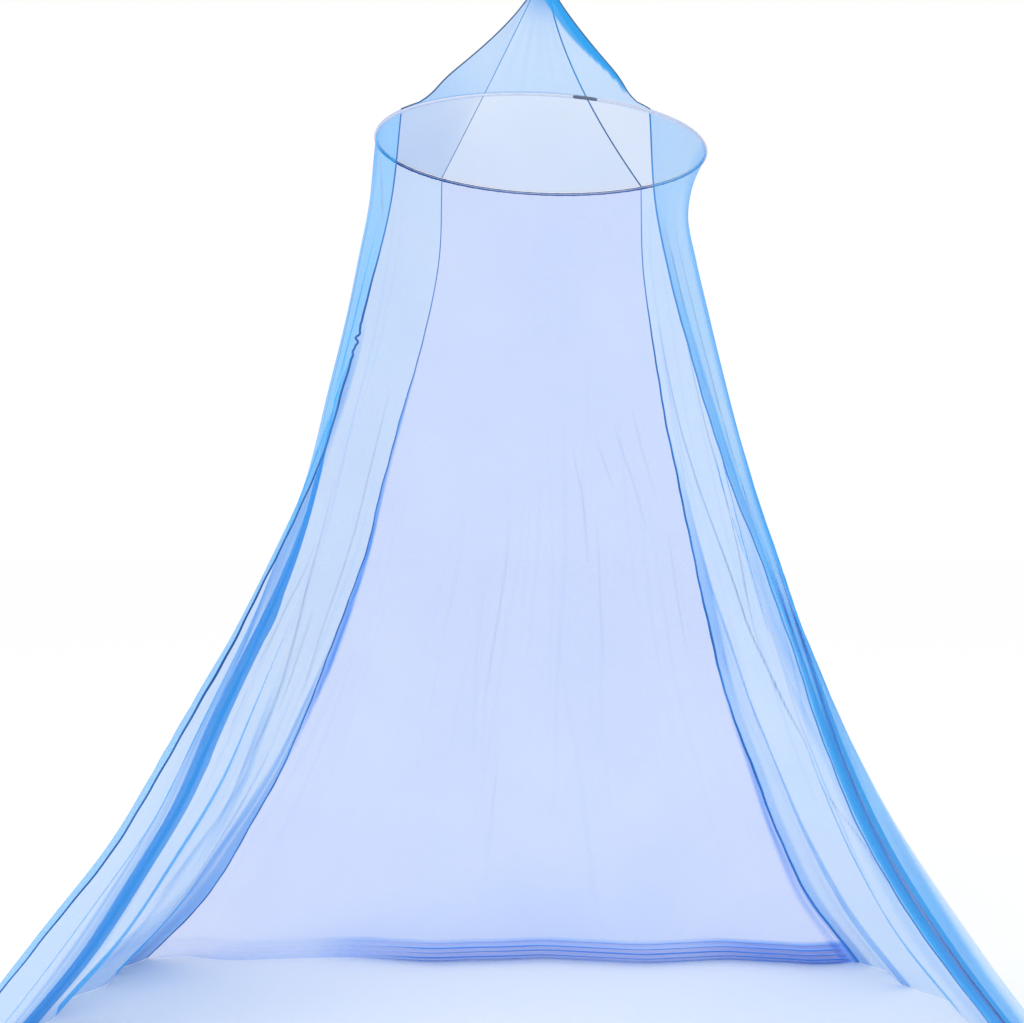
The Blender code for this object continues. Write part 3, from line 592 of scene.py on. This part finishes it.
def add_pleat(grid, out, pleat, steps, drops):
    """Doubles the cloth back on itself: points move along and out of the panel by the pleat's path, times its growth
    from nothing where it begins to full near the hem."""
    growth = ease(drops, pleat["begin"], PLEAT_SETTLED)
    path = np.array(((0.0, 0.0),) + PLEAT_PATH + ((0.0, 0.0),))
    knots = np.arange(-1.0, len(PLEAT_PATH) + 1.0)
    at = np.clip(steps - pleat["before"], knots[0], knots[-1])
    along, away = (np.interp(at, knots, path[:, k]) for k in range(2))
    for _ in range(PLEAT_SOFTENINGS):
        along, away = rounded(along, PLEAT_SOFTEN), rounded(away, PLEAT_SOFTEN)
    first = np.argmin(abs(steps - pleat["before"]))
    last = np.argmin(abs(steps - pleat["before"] - len(PLEAT_PATH) + 1))
    across = unit((grid[:, last] - grid[:, first])[:, :2])
    sideways = pleat["width"] * growth[:, None] * along
    outwards = pleat["spacing"] * (growth ** PLEAT_OPENS)[:, None] * away
    grid[..., :2] += sideways[..., None] * across[:, None] + outwards[..., None] * out[:, None]


def stack_hem(grid, places, drops):
    """Lays the back panel's surplus length in level folds: above the hem it runs out and in along Y by the stack's
    depth, once for each leg, while it falls by an even step."""
    legs = 2 * STACK_FOLDS
    height = STACK_FOLDS * STACK_PITCH
    plain = grid[drops <= SKIRT_DROP - height - STACK_GAP]
    amount = ease(places, STACK_BEGIN, STACK_BEGIN + STACK_GROWTH)
    amount = (STACK_LEAST + (1 - STACK_LEAST) * amount) * edge_window(places)
    at = np.linspace(0.0, legs, legs * STACK_STEPS + 1)
    side = -np.cos(np.pi * at) * ease(np.minimum(at, legs - at), 0.0, 1.0)
    waver = 1 + STACK_WAVER * np.sin(STACK_WAVES[0] * places[None] + STACK_WAVES[1] * at[:, None])
    hem = grid[-1]
    above = np.array([np.interp(SKIRT_DROP - height, drops, grid[:, c, k])
                      for c in range(grid.shape[1]) for k in range(3)]).reshape(-1, 3)
    rows = above[None] + (hem - above)[None] * (at / legs)[:, None, None]
    rows[..., 1] += side[:, None] * STACK_DEPTH * amount[None] * waver
    return np.concatenate([plain, rows]), len(plain)


# Meshes
OUTWARD_DOWN = 0.6  # how far the way out of the canopy points down, against metres from its axis
NEAR_AXIS = 0.02  # a piece centred as near as this to the axis keeps the way it is made


def quads_of(number, turned=False):
    """The four corners of each quad of a grid of point numbers, the other way round when turned."""
    corners = [number[:-1, :-1], number[1:, :-1], number[1:, 1:], number[:-1, 1:]]
    return np.stack(corners[:1] + corners[:0:-1] if turned else corners, axis=-1).reshape(-1, 4)


def put_in_scene(name, data):
    made = bpy.data.objects.new(name, data)
    bpy.context.collection.objects.link(made)
    return made


def mesh_object(name, points, quads, across, down, extra, material, crease_shade=None):
    """A new smooth mesh from whole arrays. Its UV map holds the cloth's own two lengths in metres, extra_thread how
    much more thread a place shows than plain net, and its second attribute how much painted shade narrow creases get
    there."""
    mesh = bpy.data.meshes.new(name)
    mesh.vertices.add(points.size // 3)
    mesh.vertices.foreach_set("co", (points.reshape(-1, 3) + HOOP_CENTRE).astype(np.float32).ravel())
    mesh.loops.add(quads.size)
    mesh.loops.foreach_set("vertex_index", quads.astype(np.int32).ravel())
    mesh.polygons.add(len(quads))
    mesh.polygons.foreach_set("loop_start", np.arange(0, quads.size, 4, dtype=np.int32))
    mesh.update(calc_edges=True)
    mesh.polygons.foreach_set("use_smooth", np.ones(len(quads), dtype=bool))
    lengths = np.stack([across, down], axis=-1).reshape(-1, 2)
    mesh.uv_layers.new(name="cloth").data.foreach_set("uv", lengths[quads.ravel()].astype(np.float32).ravel())
    crease_shade = np.zeros_like(extra) if crease_shade is None else crease_shade
    for attribute_name, values in (("extra_thread", extra), ("crease_shade", crease_shade)):
        attribute = mesh.attributes.new(attribute_name, "FLOAT", "POINT")
        attribute.data.foreach_set("value", values.astype(np.float32).ravel())
    mesh.materials.append(material)
    return put_in_scene(name, mesh)


def grid_object(name, grid, across, down, extra, material, crease_shade=None):
    """One sheet of quads on a grid of points, facing out of the canopy."""
    quads = quads_of(np.arange(grid[..., 0].size).reshape(grid.shape[:2]))
    normal = np.cross(grid[1:, :-1] - grid[:-1, :-1], grid[:-1, 1:] - grid[:-1, :-1])
    outwards = grid[:-1, :-1] * (1.0, 1.0, 0.0) - (0.0, 0.0, OUTWARD_DOWN)
    if np.sum(normal * outwards) < 0 and abs(grid.mean(axis=(0, 1))[:2]).max() > NEAR_AXIS:
        quads = quads[:, ::-1]
    return mesh_object(name, grid, quads, across, down, extra, material, crease_shade)


def cloth_lengths(grid):
    """The cloth's own lengths in metres from its middle column and its top row."""
    across = np.linalg.norm(np.diff(grid, axis=1), axis=-1)
    across = np.pad(np.cumsum(across, axis=1), ((0, 0), (1, 0)))
    across = across - across[:, across.shape[1] // 2][:, None]
    down = np.linalg.norm(np.diff(grid, axis=0), axis=-1)
    down = np.pad(np.cumsum(down, axis=0), ((1, 0), (0, 0)))
    return across, down


def path_lengths(path):
    """Length along a path up to each of its points."""
    return np.concatenate([[0.0], np.cumsum(np.linalg.norm(np.diff(path, axis=0), axis=1))])


TUBE_SIDE = (0.0, 1.0, 0.02)  # a ring's first radius is square to the path and to this way


def tube(name, path, radii, sides, material, swell=1.0, light=0.0):
    """A tube along a path: at each point a ring of the two radii, square to the path. Swell widens the ring and light
    brightens the thread."""
    tangent = unit(np.gradient(path, axis=0))
    side = unit(np.cross(tangent, TUBE_SIDE))
    up = np.cross(side, tangent)
    turn = 2 * np.pi * np.arange(sides + 1) / sides
    ring = (radii[0] * np.cos(turn))[None, :, None] * side[:, None]
    ring = ring + (radii[1] * np.sin(turn))[None, :, None] * up[:, None]
    swell, light = (np.broadcast_to(value, len(path))[:, None] for value in (swell, light))
    points = path[:, None] + swell[..., None] * ring
    number = np.arange(points[..., 0].size).reshape(points.shape[:2])
    number[:, -1] = number[:, 0]
    across = np.tile(turn / (2 * np.pi), (len(path), 1))
    down, light = (np.tile(value, (1, sides + 1)) for value in (path_lengths(path)[:, None], light))
    return mesh_object(name, points, quads_of(number, True), across, down, light, material)


def seam_line(name, drops):
    """A skirt seam in space, under the hoop casing."""
    plan = seam_plan(name, drops)
    start = hoop_height(plan[0, 0]) - CASING_UNDER
    return np.column_stack([plan, start * (1 - drops / SKIRT_DROP) - drops])


def ridge_line(name, heights):
    """A dome ridge from the hoop up to the crown: its distances from the middle shrink by powers of the height left,
    and the near two sag just above the hoop by a bell curve of the height."""
    angle = seam_angle(name)
    share = heights / DOME_H
    sag = RIDGE_SAG * bell((share - RIDGE_SAG_MIDDLE) / RIDGE_SAG_REACH)
    sag = sag * np.minimum(1.0, share / RIDGE_SAG_START)
    across = (1 - share) ** RIDGE_ACROSS[name] - sag * name.startswith("near")
    across = CROWN_R + (HOOP_R - CROWN_R) * across
    back = CROWN_R + (HOOP_R - CROWN_R) * (1 - share) ** RIDGE_BACK
    lift = (hoop_height(HOOP_R * np.sin(angle)) + GORE_LIFT) * (1 - share)
    return np.column_stack([across * np.sin(angle) + CROWN_X * share, -back * np.cos(angle), heights + lift])


def gore_grid(first, second, heights, places):
    """A gore between two ridges: the hoop's arc at its foot, sagging a little inwards higher up."""
    start = ridge_line(first, heights)
    end = ridge_line(second, heights)
    grid = start[:, None] + (end - start)[:, None] * places[None, :, None]
    arc = arc_plan(first, second, places) - grid[0, :, :2]
    share = heights / DOME_H
    width = np.linalg.norm(end - start, axis=1) / np.linalg.norm(end[0] - start[0])
    bow = np.exp(-share / GORE_FOOT) * (1 - share) - GORE_SAG * width * np.sin(np.pi * share) ** GORE_SAG_POWER
    grid[..., :2] += bow[:, None, None] * arc[None]
    foot = hoop_height(grid[0, :, 0]) + GORE_LIFT
    grid[..., 2] = heights[:, None] + foot[None] * (1 - share)[:, None]
    return grid


def round_hoop(section, angles, thread, name, material, closed):
    """A section (outwards, upwards) carried round the hoop through the given angles, following its tilt."""
    out = np.stack([np.sin(angles), -np.cos(angles), np.zeros_like(angles)], axis=-1)
    points = HOOP_R * out[:, None] + section[..., :1] * out[:, None]
    points[..., 2] += section[..., 1] + hoop_height(points[..., 0])
    rows, cols = points.shape[:2]
    number = np.arange(rows * cols).reshape(rows, cols)
    if closed[0]:
        number = np.vstack([number, number[:1]])
    if closed[1]:
        number = np.hstack([number, number[:, :1]])
    across = np.tile(path_lengths(section[0]), (rows, 1))
    down = np.tile((HOOP_R * angles)[:, None], (1, cols))
    thread = np.broadcast_to(np.asarray(thread)[..., None], (rows, cols))
    return mesh_object(name, points, quads_of(number, True), across, down, thread, material)


# Materials
NET_PITCH = 0.0015  # from one hole of the net to the next
NET_TURNS = (0.0, 60.0, 120.0)
HOLE_WAVE = (1.2, 0.74)  # the waves' sum in a hole and how much of the average thread shows there
THREAD_WAVE = (-0.9, 1.36)  # and in a thread
LEAST_SHOWN = 0.03
CLOUDS = (5.0, 3.0, 0.20, 0.90)  # thicker and thinner patches: noise scale and detail, its gain and least
PATCHES = (9.0, 2.0, 0.6)  # patches of the deeper colour: noise scale and detail, its gain
THREAD_TINT = 1.2  # how far each unit of extra thread turns to the deeper colour
CREASE_SHADE_COLOUR = (0.130, 0.230, 0.400)  # painted shade of a sharp crease, slate blue
CREASE_SHADE = 0.80  # and how far the sharpest crease's colour turns to that painted shade
NET_FINISH = {"Roughness": 0.80, "Specular IOR Level": 0.0, "Sheen Weight": 0.02, "Sheen Roughness": 0.45}
NET_BUMP = (0.0002, 0.25)
STITCH_EDGE = 0.25  # softness of a stitch's edges
STITCH_SHOWS = 0.35
STRETCHES = (6.0, 3.0, 0.38, 0.62)  # lighter and darker stretches: noise scale and detail, and its range
STRETCH_SHOWS = 0.35
SEAM_ROUGH = (60.0, 2.0, 0.2, 0.65)  # noise scale and detail, its gain and least roughness
SEAM_GLOSS = 0.12
SEAM_BUMP = (0.0004, 0.6)
WIRE_LOOK = dict(mottle=(90.0, 4.0), colours=((0.62, 0.66, 0.74), (0.86, 0.88, 0.93)), rough=(0.25, 0.22),
                 marks=(700.0, 2.0), depth=(0.0001, 0.2), coat=0.3)
SLEEVE_LOOK = dict(mottle=(260.0, 5.0), colours=((0.055, 0.065, 0.085), (0.13, 0.14, 0.17)), rough=(0.35, 0.30),
                   marks=(260.0, 5.0), depth=(0.0001, 0.3))
NET_LOOKS = {  # light and deep colour, thread of plain net and the most it shows
    "side net": ((0.05, 0.50, 0.98), (0.085, 0.36, 0.87), 0.39, 0.95),
    # the back net's darker, more violet colours are painted shade: the same net as the sides, coloured as it looks in
    # shadow
    "shaded back net": ((0.06, 0.345, 0.97), (0.035, 0.30, 0.92), 0.36, 0.95),
    "dome net": ((0.05, 0.46, 0.96), (0.03, 0.33, 0.76), 0.21, 0.93),
    "casing net": ((0.30, 0.46, 0.85), (0.01, 0.11, 0.42), 0.26, 0.95),
}
STITCHED_LOOKS = {  # cloth and thread colour, stitch pitch and the thread's share of it
    "seam cloth": ((0.008, 0.065, 0.26), (0.08, 0.30, 0.76), 0.0032, 0.35),
    "ridge cloth": ((0.04, 0.085, 0.19), (0.20, 0.30, 0.50), 0.0032, 0.35),
    "cap cloth": ((0.03, 0.24, 0.70), (0.12, 0.42, 0.86), 0.0016, 0.45),
    "loop cord": ((0.50, 0.56, 0.66), (0.82, 0.86, 0.92), 0.0042, 0.60),
}


def feed(tree, node, inputs):
    """Gives a node its inputs: numbers and colours as they are, other nodes' outputs by a link."""
    for slot, value in dict(inputs).items():
        if isinstance(value, bpy.types.NodeSocket):
            tree.links.new(value, node.inputs[slot])
        else:
            node.inputs[slot].default_value = value


def new_material(name, finish=()):
    """A material with the given numbers on its shader; returns it with its node tree and its shader."""
    made = bpy.data.materials.new(name)
    made.use_nodes = True
    shader = made.node_tree.nodes["Principled BSDF"]
    feed(made.node_tree, shader, finish)
    return made, made.node_tree, shader


def add_node(tree, kind, inputs=(), **settings):
    """One more node with its settings and inputs; returns its outputs."""
    node = tree.nodes.new("ShaderNode" + kind)
    for setting, value in settings.items():
        setattr(node, setting, value)
    feed(tree, node, inputs)
    return node.outputs


def maths(tree, kind, *values, clamp=False):
    """One Math node on numbers or other nodes' outputs."""
    return add_node(tree, "Math", enumerate(values), operation=kind, use_clamp=clamp)[0]


def own_lengths(tree):
    """The cloth's own two lengths, from the piece's UV map."""
    return add_node(tree, "UVMap", uv_map="cloth")[0]


def own_value(tree, name):
    """One of the piece's attributes."""
    return add_node(tree, "Attribute", attribute_name=name)["Fac"]


def noise(tree, scale, detail):
    """Smooth noise on Object coordinates."""
    place = add_node(tree, "TexCoord")["Object"]
    return add_node(tree, "TexNoise", {"Vector": place, "Scale": scale, "Detail": detail})["Fac"]


def spread(tree, value, low, high, to=(0.0, 1.0), kind="LINEAR"):
    """Carries low to high over to a new range."""
    inputs = zip(("Value", "From Min", "From Max", "To Min", "To Max"), (value, low, high, *to))
    return add_node(tree, "MapRange", inputs, interpolation_type=kind)["Result"]


def blend_colours(tree, factor, first, second):
    """Mixes two colours; the first may be a socket."""
    first = (*first, 1.0) if isinstance(first, tuple) else first
    inputs = {"Factor": factor, "A": first, "B": (*second, 1.0)}
    return add_node(tree, "Mix", inputs, data_type="RGBA")["Result"]


def relief(tree, height, distance, strength):
    """The normal of a bumpy surface."""
    return add_node(tree, "Bump", {"Height": height, "Distance": distance, "Strength": strength})["Normal"]


def net_material(name, light, deep, plain, most):
    """Sheer warp-knitted net. Three waves across the cloth's own lengths, 60 degrees apart, leave round holes between
    fine threads. extra_thread is added to plain net's share of the view, up to most."""
    made, tree, shader = new_material(name, NET_FINISH)
    lengths = own_lengths(tree)
    total = None
    for turn in np.radians(NET_TURNS):
        way = 2 * np.pi / NET_PITCH * np.array((np.cos(turn), np.sin(turn), 0.0))
        phase = add_node(tree, "VectorMath", {0: lengths, 1: way}, operation="DOT_PRODUCT")["Value"]
        wave = maths(tree, "COSINE", phase)
        total = wave if total is None else maths(tree, "ADD", total, wave)
    knit = spread(tree, total, HOLE_WAVE[0], THREAD_WAVE[0], (HOLE_WAVE[1], THREAD_WAVE[1]), "SMOOTHSTEP")
    extra = own_value(tree, "extra_thread")
    cloud = maths(tree, "MULTIPLY_ADD", noise(tree, *CLOUDS[:2]), *CLOUDS[2:])
    shown = maths(tree, "MULTIPLY", maths(tree, "MULTIPLY_ADD", knit, plain, extra), cloud)
    shown = maths(tree, "MAXIMUM", maths(tree, "MINIMUM", shown, most), LEAST_SHOWN)
    patchy = maths(tree, "MULTIPLY", noise(tree, *PATCHES[:2]), PATCHES[2])
    tint = maths(tree, "MULTIPLY_ADD", extra, THREAD_TINT, patchy, clamp=True)
    # painted shade: the colour turns towards slate blue along narrow creases
    shade = maths(tree, "MULTIPLY", own_value(tree, "crease_shade"), CREASE_SHADE)
    shaded = blend_colours(tree, shade, blend_colours(tree, tint, light, deep), CREASE_SHADE_COLOUR)
    feed(tree, shader, {"Base Color": shaded, "Alpha": shown, "Normal": relief(tree, knit, *NET_BUMP)})
    return made


def stitched_material(name, cloth, thread, pitch, share):
    """Rolled seam: dark folded cloth with a lighter thread across it at every stitch, where a sine of the length
    along it and round it is high. The thread shows more where extra_thread is more."""
    made, tree, shader = new_material(name, {"Specular IOR Level": SEAM_GLOSS})
    parts = add_node(tree, "SeparateXYZ", {0: own_lengths(tree)})
    leaning = maths(tree, "ADD", parts["X"], maths(tree, "MULTIPLY", parts["Y"], 1 / pitch))
    wave = maths(tree, "SINE", maths(tree, "MULTIPLY", leaning, 2 * np.pi))
    level = 1 - 2 * share
    stitch = spread(tree, wave, level - STITCH_EDGE, level + STITCH_EDGE)
    stretch = spread(tree, noise(tree, *STRETCHES[:2]), *STRETCHES[2:])
    shown = maths(tree, "MULTIPLY_ADD", stretch, STRETCH_SHOWS, own_value(tree, "extra_thread"))
    shown = maths(tree, "MULTIPLY_ADD", stitch, STITCH_SHOWS, shown, clamp=True)
    feed(tree, shader, {
        "Base Color": blend_colours(tree, shown, cloth, thread),
        "Roughness": maths(tree, "MULTIPLY_ADD", noise(tree, *SEAM_ROUGH[:2]), *SEAM_ROUGH[2:]),
        "Normal": relief(tree, stitch, *SEAM_BUMP),
    })
    return made


def hard_material(name, mottle, colours, rough, marks, depth, coat=0.0):
    """Plain wire or plastic: noise mixes its two colours and its roughness, and marks are its fine relief."""
    made, tree, shader = new_material(name, {"Coat Weight": coat})
    mottle = noise(tree, *mottle)
    feed(tree, shader, {
        "Base Color": blend_colours(tree, mottle, *colours),
        "Roughness": maths(tree, "MULTIPLY_ADD", mottle, *rough),
        "Normal": relief(tree, noise(tree, *marks), *depth),
    })
    return made


side_net, shaded_back_net, dome_net, casing_net = (net_material(name, *look) for name, look in NET_LOOKS.items())
seam_cloth, ridge_cloth, cap_cloth, loop_cord = (
    stitched_material(name, *look) for name, look in STITCHED_LOOKS.items())
coated_wire = hard_material("coated wire", **WIRE_LOOK)
sleeve_plastic = hard_material("joint sleeve plastic", **SLEEVE_LOOK)


def settle(piece, slot, *nodes):
    """A finished piece rides on the one body and stands for its solids. Its slot is not used."""
    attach(piece, "root")
    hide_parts(*nodes)
    return piece


# Skirt panels
drops = np.linspace(0.0, SKIRT_DROP, SKIRT_ROWS)


def outer_turn(grid, turns):
    """Extra thread at the curtain's outermost turn: a bell curve of how far short of it each point reaches,
    sideways less a share of its depth."""
    lean = TURN_LEAN[0] + TURN_LEAN[1] * drops / SKIRT_DROP
    reach = abs(grid[..., 0]) - lean[:, None] * grid[..., 1]
    short = reach.max(axis=1, keepdims=True) - reach
    thread, = read_off(turns, drops)
    return thread[:, None] * bell(short / TURN_DEPTH)


def side_curtain(side, folds, pleat, creases, gathers, turns, seed):
    """A hanging panel and its deep pleat, with gathers, creases and streaks pushed along its outward way."""
    near, far = "near_" + side, "far_" + side
    steps = pleat_steps(pleat)
    places = pleated_places(pleat, steps, drops)
    grid, out = panel_grid(near, far, places, drops, side, folds)
    width = np.linalg.norm(seam_plan(far, drops) - seam_plan(near, drops), axis=1) * CURTAIN_FULLNESS
    add_pleat(grid, out, pleat, steps, drops)
    height, thread, shaded_crease = crease_field(creases, places, drops, width)
    fine, thin = streaks(seed, CURTAIN_STREAKS, places, drops, width)
    rise, bunched = gather_field(gathers, places, drops, seed)
    grid[..., :2] += ((height + fine + rise) * edge_window(places))[..., None] * out[:, None]
    across, down = cloth_lengths(grid)
    extra = thread + thin + bunched + outer_turn(grid, turns)
    made = grid_object("net_curtain_" + side, grid, across, down, extra, side_net, shaded_crease)
    return settle(made, "net", "curtain_" + side)


left = side_curtain("left", LEFT_FOLDS, LEFT_PLEAT, LEFT_CREASES, LEFT_GATHERS, LEFT_TURN, seed=11)
right = side_curtain("right", RIGHT_FOLDS, RIGHT_PLEAT, RIGHT_CREASES, RIGHT_GATHERS, RIGHT_TURN, seed=23)


def back_sheet():
    """The back panel with its creases and the level folds of its hem."""
    places = np.linspace(0.0, 1.0, BACK_COLS)
    everywhere = np.tile(places, (len(drops), 1))
    grid, out = panel_grid("far_left", "far_right", everywhere, drops, "back", BACK_FOLDS)
    width = np.linalg.norm(seam_plan("far_right", drops) - seam_plan("far_left", drops), axis=1)
    height, thread, shaded_crease = crease_field(BACK_CREASES, everywhere, drops, width)
    fine, thin = streaks(BACK_SEEDS[0], BACK_STREAKS, everywhere, drops, width, BACK_STREAKS_BEGIN)
    rise, bunched = gather_field(BACK_GATHERS, everywhere, drops, BACK_SEEDS[1])
    grid[..., :2] += ((height + fine + rise) * edge_window(everywhere))[..., None] * out[:, None]
    thread = thread + thin + bunched
    grid, plain = stack_hem(grid, places, drops)
    stacked = sum(least + (most - least) * ease(places, low, high) for low, high, least, most in STACK_THREAD)
    stacked = np.tile(stacked, (len(grid) - plain, 1))
    thread = np.concatenate([thread[:plain], stacked + thread[-1]])
    # the back panel's faint creases get less of the painted crease shade, and the hem stack none
    shaded_crease = np.concatenate([BACK_CREASE_SHADE * shaded_crease[:plain], np.zeros_like(stacked)])
    across, down = cloth_lengths(grid)
    return grid_object("net_back_panel", grid, across, down, thread, shaded_back_net, shaded_crease)


back = settle(back_sheet(), "net", "back_panel")

seams = {}
fine_drops = np.linspace(0.0, SKIRT_DROP - SEAM_END, SEAM_STEPS)
for side, looks in SEAM_LOOKS.items():
    line = seam_line(side, fine_drops)
    line[:, 0] += ripples(fine_drops, SEAM_WANDER) * ease(fine_drops, *WANDER_BEGINS)
    if side == "near_left":
        under = fine_drops - PUCKER_DROP
        line[:, 0] += PUCKER_SWING * bell(under / PUCKER_REACH) * ripples(under, PUCKER_WAVES)
    seams[side] = tube("seam_line_" + side, line, SEAM_RADII, SEAM_SIDES, seam_cloth, *read_off(looks, fine_drops))
    settle(seams[side], "seam", "seam_" + side)


# Dome
heights = DOME_H * np.linspace(0.0, 1.0, GORE_ROWS) ** GORE_ROWS_POWER
gore_places = np.linspace(0.0, 1.0, GORE_COLS)
for count, (name, first, second, foot, fade, above) in enumerate(GORE_TABLE):
    grid = gore_grid(first, second, heights, gore_places)
    share = np.tile((heights / DOME_H)[:, None], (1, GORE_COLS))
    width = np.linalg.norm(grid[:, -1] - grid[:, 0], axis=1)[:, None]
    draw = np.random.default_rng(GORE_SEED + count)
    thread = CROWN_THREAD * ease(share, CROWN_GATHERS, 1.0) + above
    thread += (foot - above) * (1 - ease(share, GORE_FADE_START, fade))
    for _ in range(CROWN_CREASES):
        aside = (gore_places[None] - draw.uniform(*INSIDE)) * width
        shown = bell(aside / CROWN_CREASE_HALF) * ease(share, *CROWN_CREASE_SHARES)
        thread += draw.uniform(*CROWN_CREASE_THREAD) * shown
    if "near_right" in (first, second):
        from_ridge = (gore_places if first == "near_right" else 1 - gore_places)[None] * width
        band = RIDGE_BAND * ease(share, *RIDGE_BAND_GROWS) + RIDGE_BAND_LEAST
        inside = 1 - ease(from_ridge, band * RIDGE_BAND_EDGE[0], band * RIDGE_BAND_EDGE[1])
        thread += RIDGE_BAND_THREAD * inside * ease(share, *RIDGE_BAND_STARTS)
    across, down = cloth_lengths(grid)
    settle(grid_object("net_" + name, grid, across, down, thread, dome_net), "net", name)
for side, (radius, light) in RIDGE_LOOKS.items():
    path = ridge_line(side, np.linspace(0, DOME_H, RIDGE_STEPS))
    made = tube("ridge_line_" + side, path, (radius, radius), RIDGE_SIDES, ridge_cloth, 1.0, light)
    settle(made, "seam", "ridge_" + side)


# Hoop
around = 2 * np.pi * np.arange(WIRE_SIDES) / WIRE_SIDES
circle = np.column_stack([np.cos(around), np.sin(around)])
joint = np.radians(SLEEVE_ANGLE)
hoop_angles = joint + np.linspace(HOOP_GAP, 2 * np.pi - HOOP_GAP, HOOP_STEPS)
wire = round_hoop(np.tile(WIRE_R * circle, (HOOP_STEPS, 1, 1)), hoop_angles, 0.0, "hoop_wire", coated_wire,
                  (False, True))
settle(wire, "wire", "hoop")
sleeve_angles = joint + np.radians(np.linspace(-SLEEVE_HALF, SLEEVE_HALF, SLEEVE_STEPS))
sleeve_r = np.full(SLEEVE_STEPS, SLEEVE_OUT_R)
sleeve_r[[0, -1]] = SLEEVE_IN_R
sleeve_r[[1, -2]] = SLEEVE_OUT_R - SLEEVE_BEVEL
sleeve = round_hoop(sleeve_r[:, None, None] * circle[None], sleeve_angles, 0.0, "joint_sleeve", sleeve_plastic,
                    (False, True))
settle(sleeve, "sleeve", "hoop_joint_sleeve")
slit = np.radians(CASING_SLIT)
arc_angles = np.linspace(np.pi + slit, 3 * np.pi - slit, CASING_SIDES)
arc = np.column_stack([np.cos(arc_angles), np.sin(arc_angles)])
casing_angles = np.linspace(-np.pi, np.pi, CASING_STEPS + 1)[:-1]
ruffle = 1 + ripples(casing_angles, CASING_RUFFLES)
casing_thread, = read_off(CASING_ROWS, np.degrees(casing_angles))
casing = round_hoop(CASING_R * ruffle[:, None, None] * arc[None], casing_angles, casing_thread, "hoop_casing_net",
                    casing_net, (True, False))
settle(casing, "net", "hoop_casing")

# Crown cap and hanging loop
cap_turn = np.linspace(0.0, 2 * np.pi, CAP_STEPS)
cap_radius, cap_height = np.array(CAP_ROWS).T[..., None]
crimp = 1 + CAP_CRIMP * np.sin(cap_turn * CAP_CRIMPS)[None] * (cap_radius / CAP_CRIMP_R) ** 2
cap_grid = np.stack([CROWN_X + cap_radius * crimp * np.cos(cap_turn), cap_radius * crimp * np.sin(cap_turn),
                     CAP_FOOT + cap_height + 0 * crimp], axis=-1)
cap_across = np.broadcast_to(cap_turn / (2 * np.pi), crimp.shape)
cap_down = np.broadcast_to(cap_radius, crimp.shape)
cap = grid_object("crown_cap_cloth", cap_grid, cap_across, cap_down, np.zeros(crimp.shape), cap_cloth)
settle(cap, "seam", "crown_cap")
foot = CAP_FOOT + CAP_T + LOOP_GAP
loop_turn = np.radians(np.linspace(*LOOP_TURN))
round_top = LOOP_HALF_W * np.column_stack([np.cos(loop_turn), np.sin(loop_turn)])
round_top[:, 1] += foot + LOOP_H - LOOP_HALF_W
legs = np.array([(0.0, -LOOP_SUNK), *LOOP_LEGS]) + (LOOP_FEET, foot)
outline = np.vstack([legs, round_top, legs[::-1] * (-1, 1)])
length = path_lengths(outline)
even = np.linspace(0.0, length[-1], LOOP_STEPS)
loop_path = np.column_stack([CROWN_X + np.interp(even, length, outline[:, 0]), np.zeros(LOOP_STEPS),
                             np.interp(even, length, outline[:, 1])])
settle(tube("cord_loop", loop_path, (LOOP_R, LOOP_R), LOOP_SIDES, loop_cord), "cord", "hanging_loop")

# Floor, light and camera
FLOOR_Z = -2.0214
FLOOR_HALF = 60.0
FLOOR_WHITE = 0.99
KEY_POWER = 45.0
KEY_SIZE = 3.0
KEY_PLACE = (-2.6, -3.2, 1.6)
KEY_AIM = (0.0, 0.0, -1.0)
CAMERA_PLACE = (-0.057, -2.385, -1.079)
CAMERA_LENS = 45.74
CAMERA_SENSOR = 36.0
CAMERA_SHIFT = 0.0278
LAYERS = 64  # layers of net that a ray of light may pass

floor_x, floor_y = np.meshgrid((-FLOOR_HALF, FLOOR_HALF), (-FLOOR_HALF, FLOOR_HALF), indexing="ij")
floor_grid = np.stack([floor_x, floor_y, np.full_like(floor_x, FLOOR_Z)], axis=-1) - HOOP_CENTRE
paint = new_material("floor paint", {"Base Color": (FLOOR_WHITE, FLOOR_WHITE, FLOOR_WHITE, 1.0), "Roughness": 1.0,
                                     "Specular IOR Level": 0.0})[0]
floor = grid_object("floor", floor_grid, floor_x, floor_y, np.zeros_like(floor_x), paint)

scene = bpy.context.scene
world = bpy.data.worlds.new("studio")
world.use_nodes = True
feed(world.node_tree, world.node_tree.nodes["Background"], {"Color": (1.0, 1.0, 1.0, 1.0), "Strength": 1.0})
scene.world = world
scene.view_settings.view_transform = "Standard"
scene.cycles.transparent_max_bounces = LAYERS

key_data = bpy.data.lights.new("key", "AREA")
key_data.energy = KEY_POWER
key_data.size = KEY_SIZE
key = put_in_scene("key", key_data)
key.location = KEY_PLACE
key.rotation_mode = "QUATERNION"
key.rotation_quaternion = (type(key.location)(KEY_AIM) - key.location).to_track_quat("-Z", "Y")

camera_data = bpy.data.cameras.new("camera")
camera_data.lens = CAMERA_LENS
camera_data.sensor_width = CAMERA_SENSOR
camera_data.shift_y = CAMERA_SHIFT
camera = put_in_scene("camera", camera_data)
camera.location = CAMERA_PLACE
camera.rotation_euler = (np.pi / 2, 0.0, 0.0)
scene.camera = camera
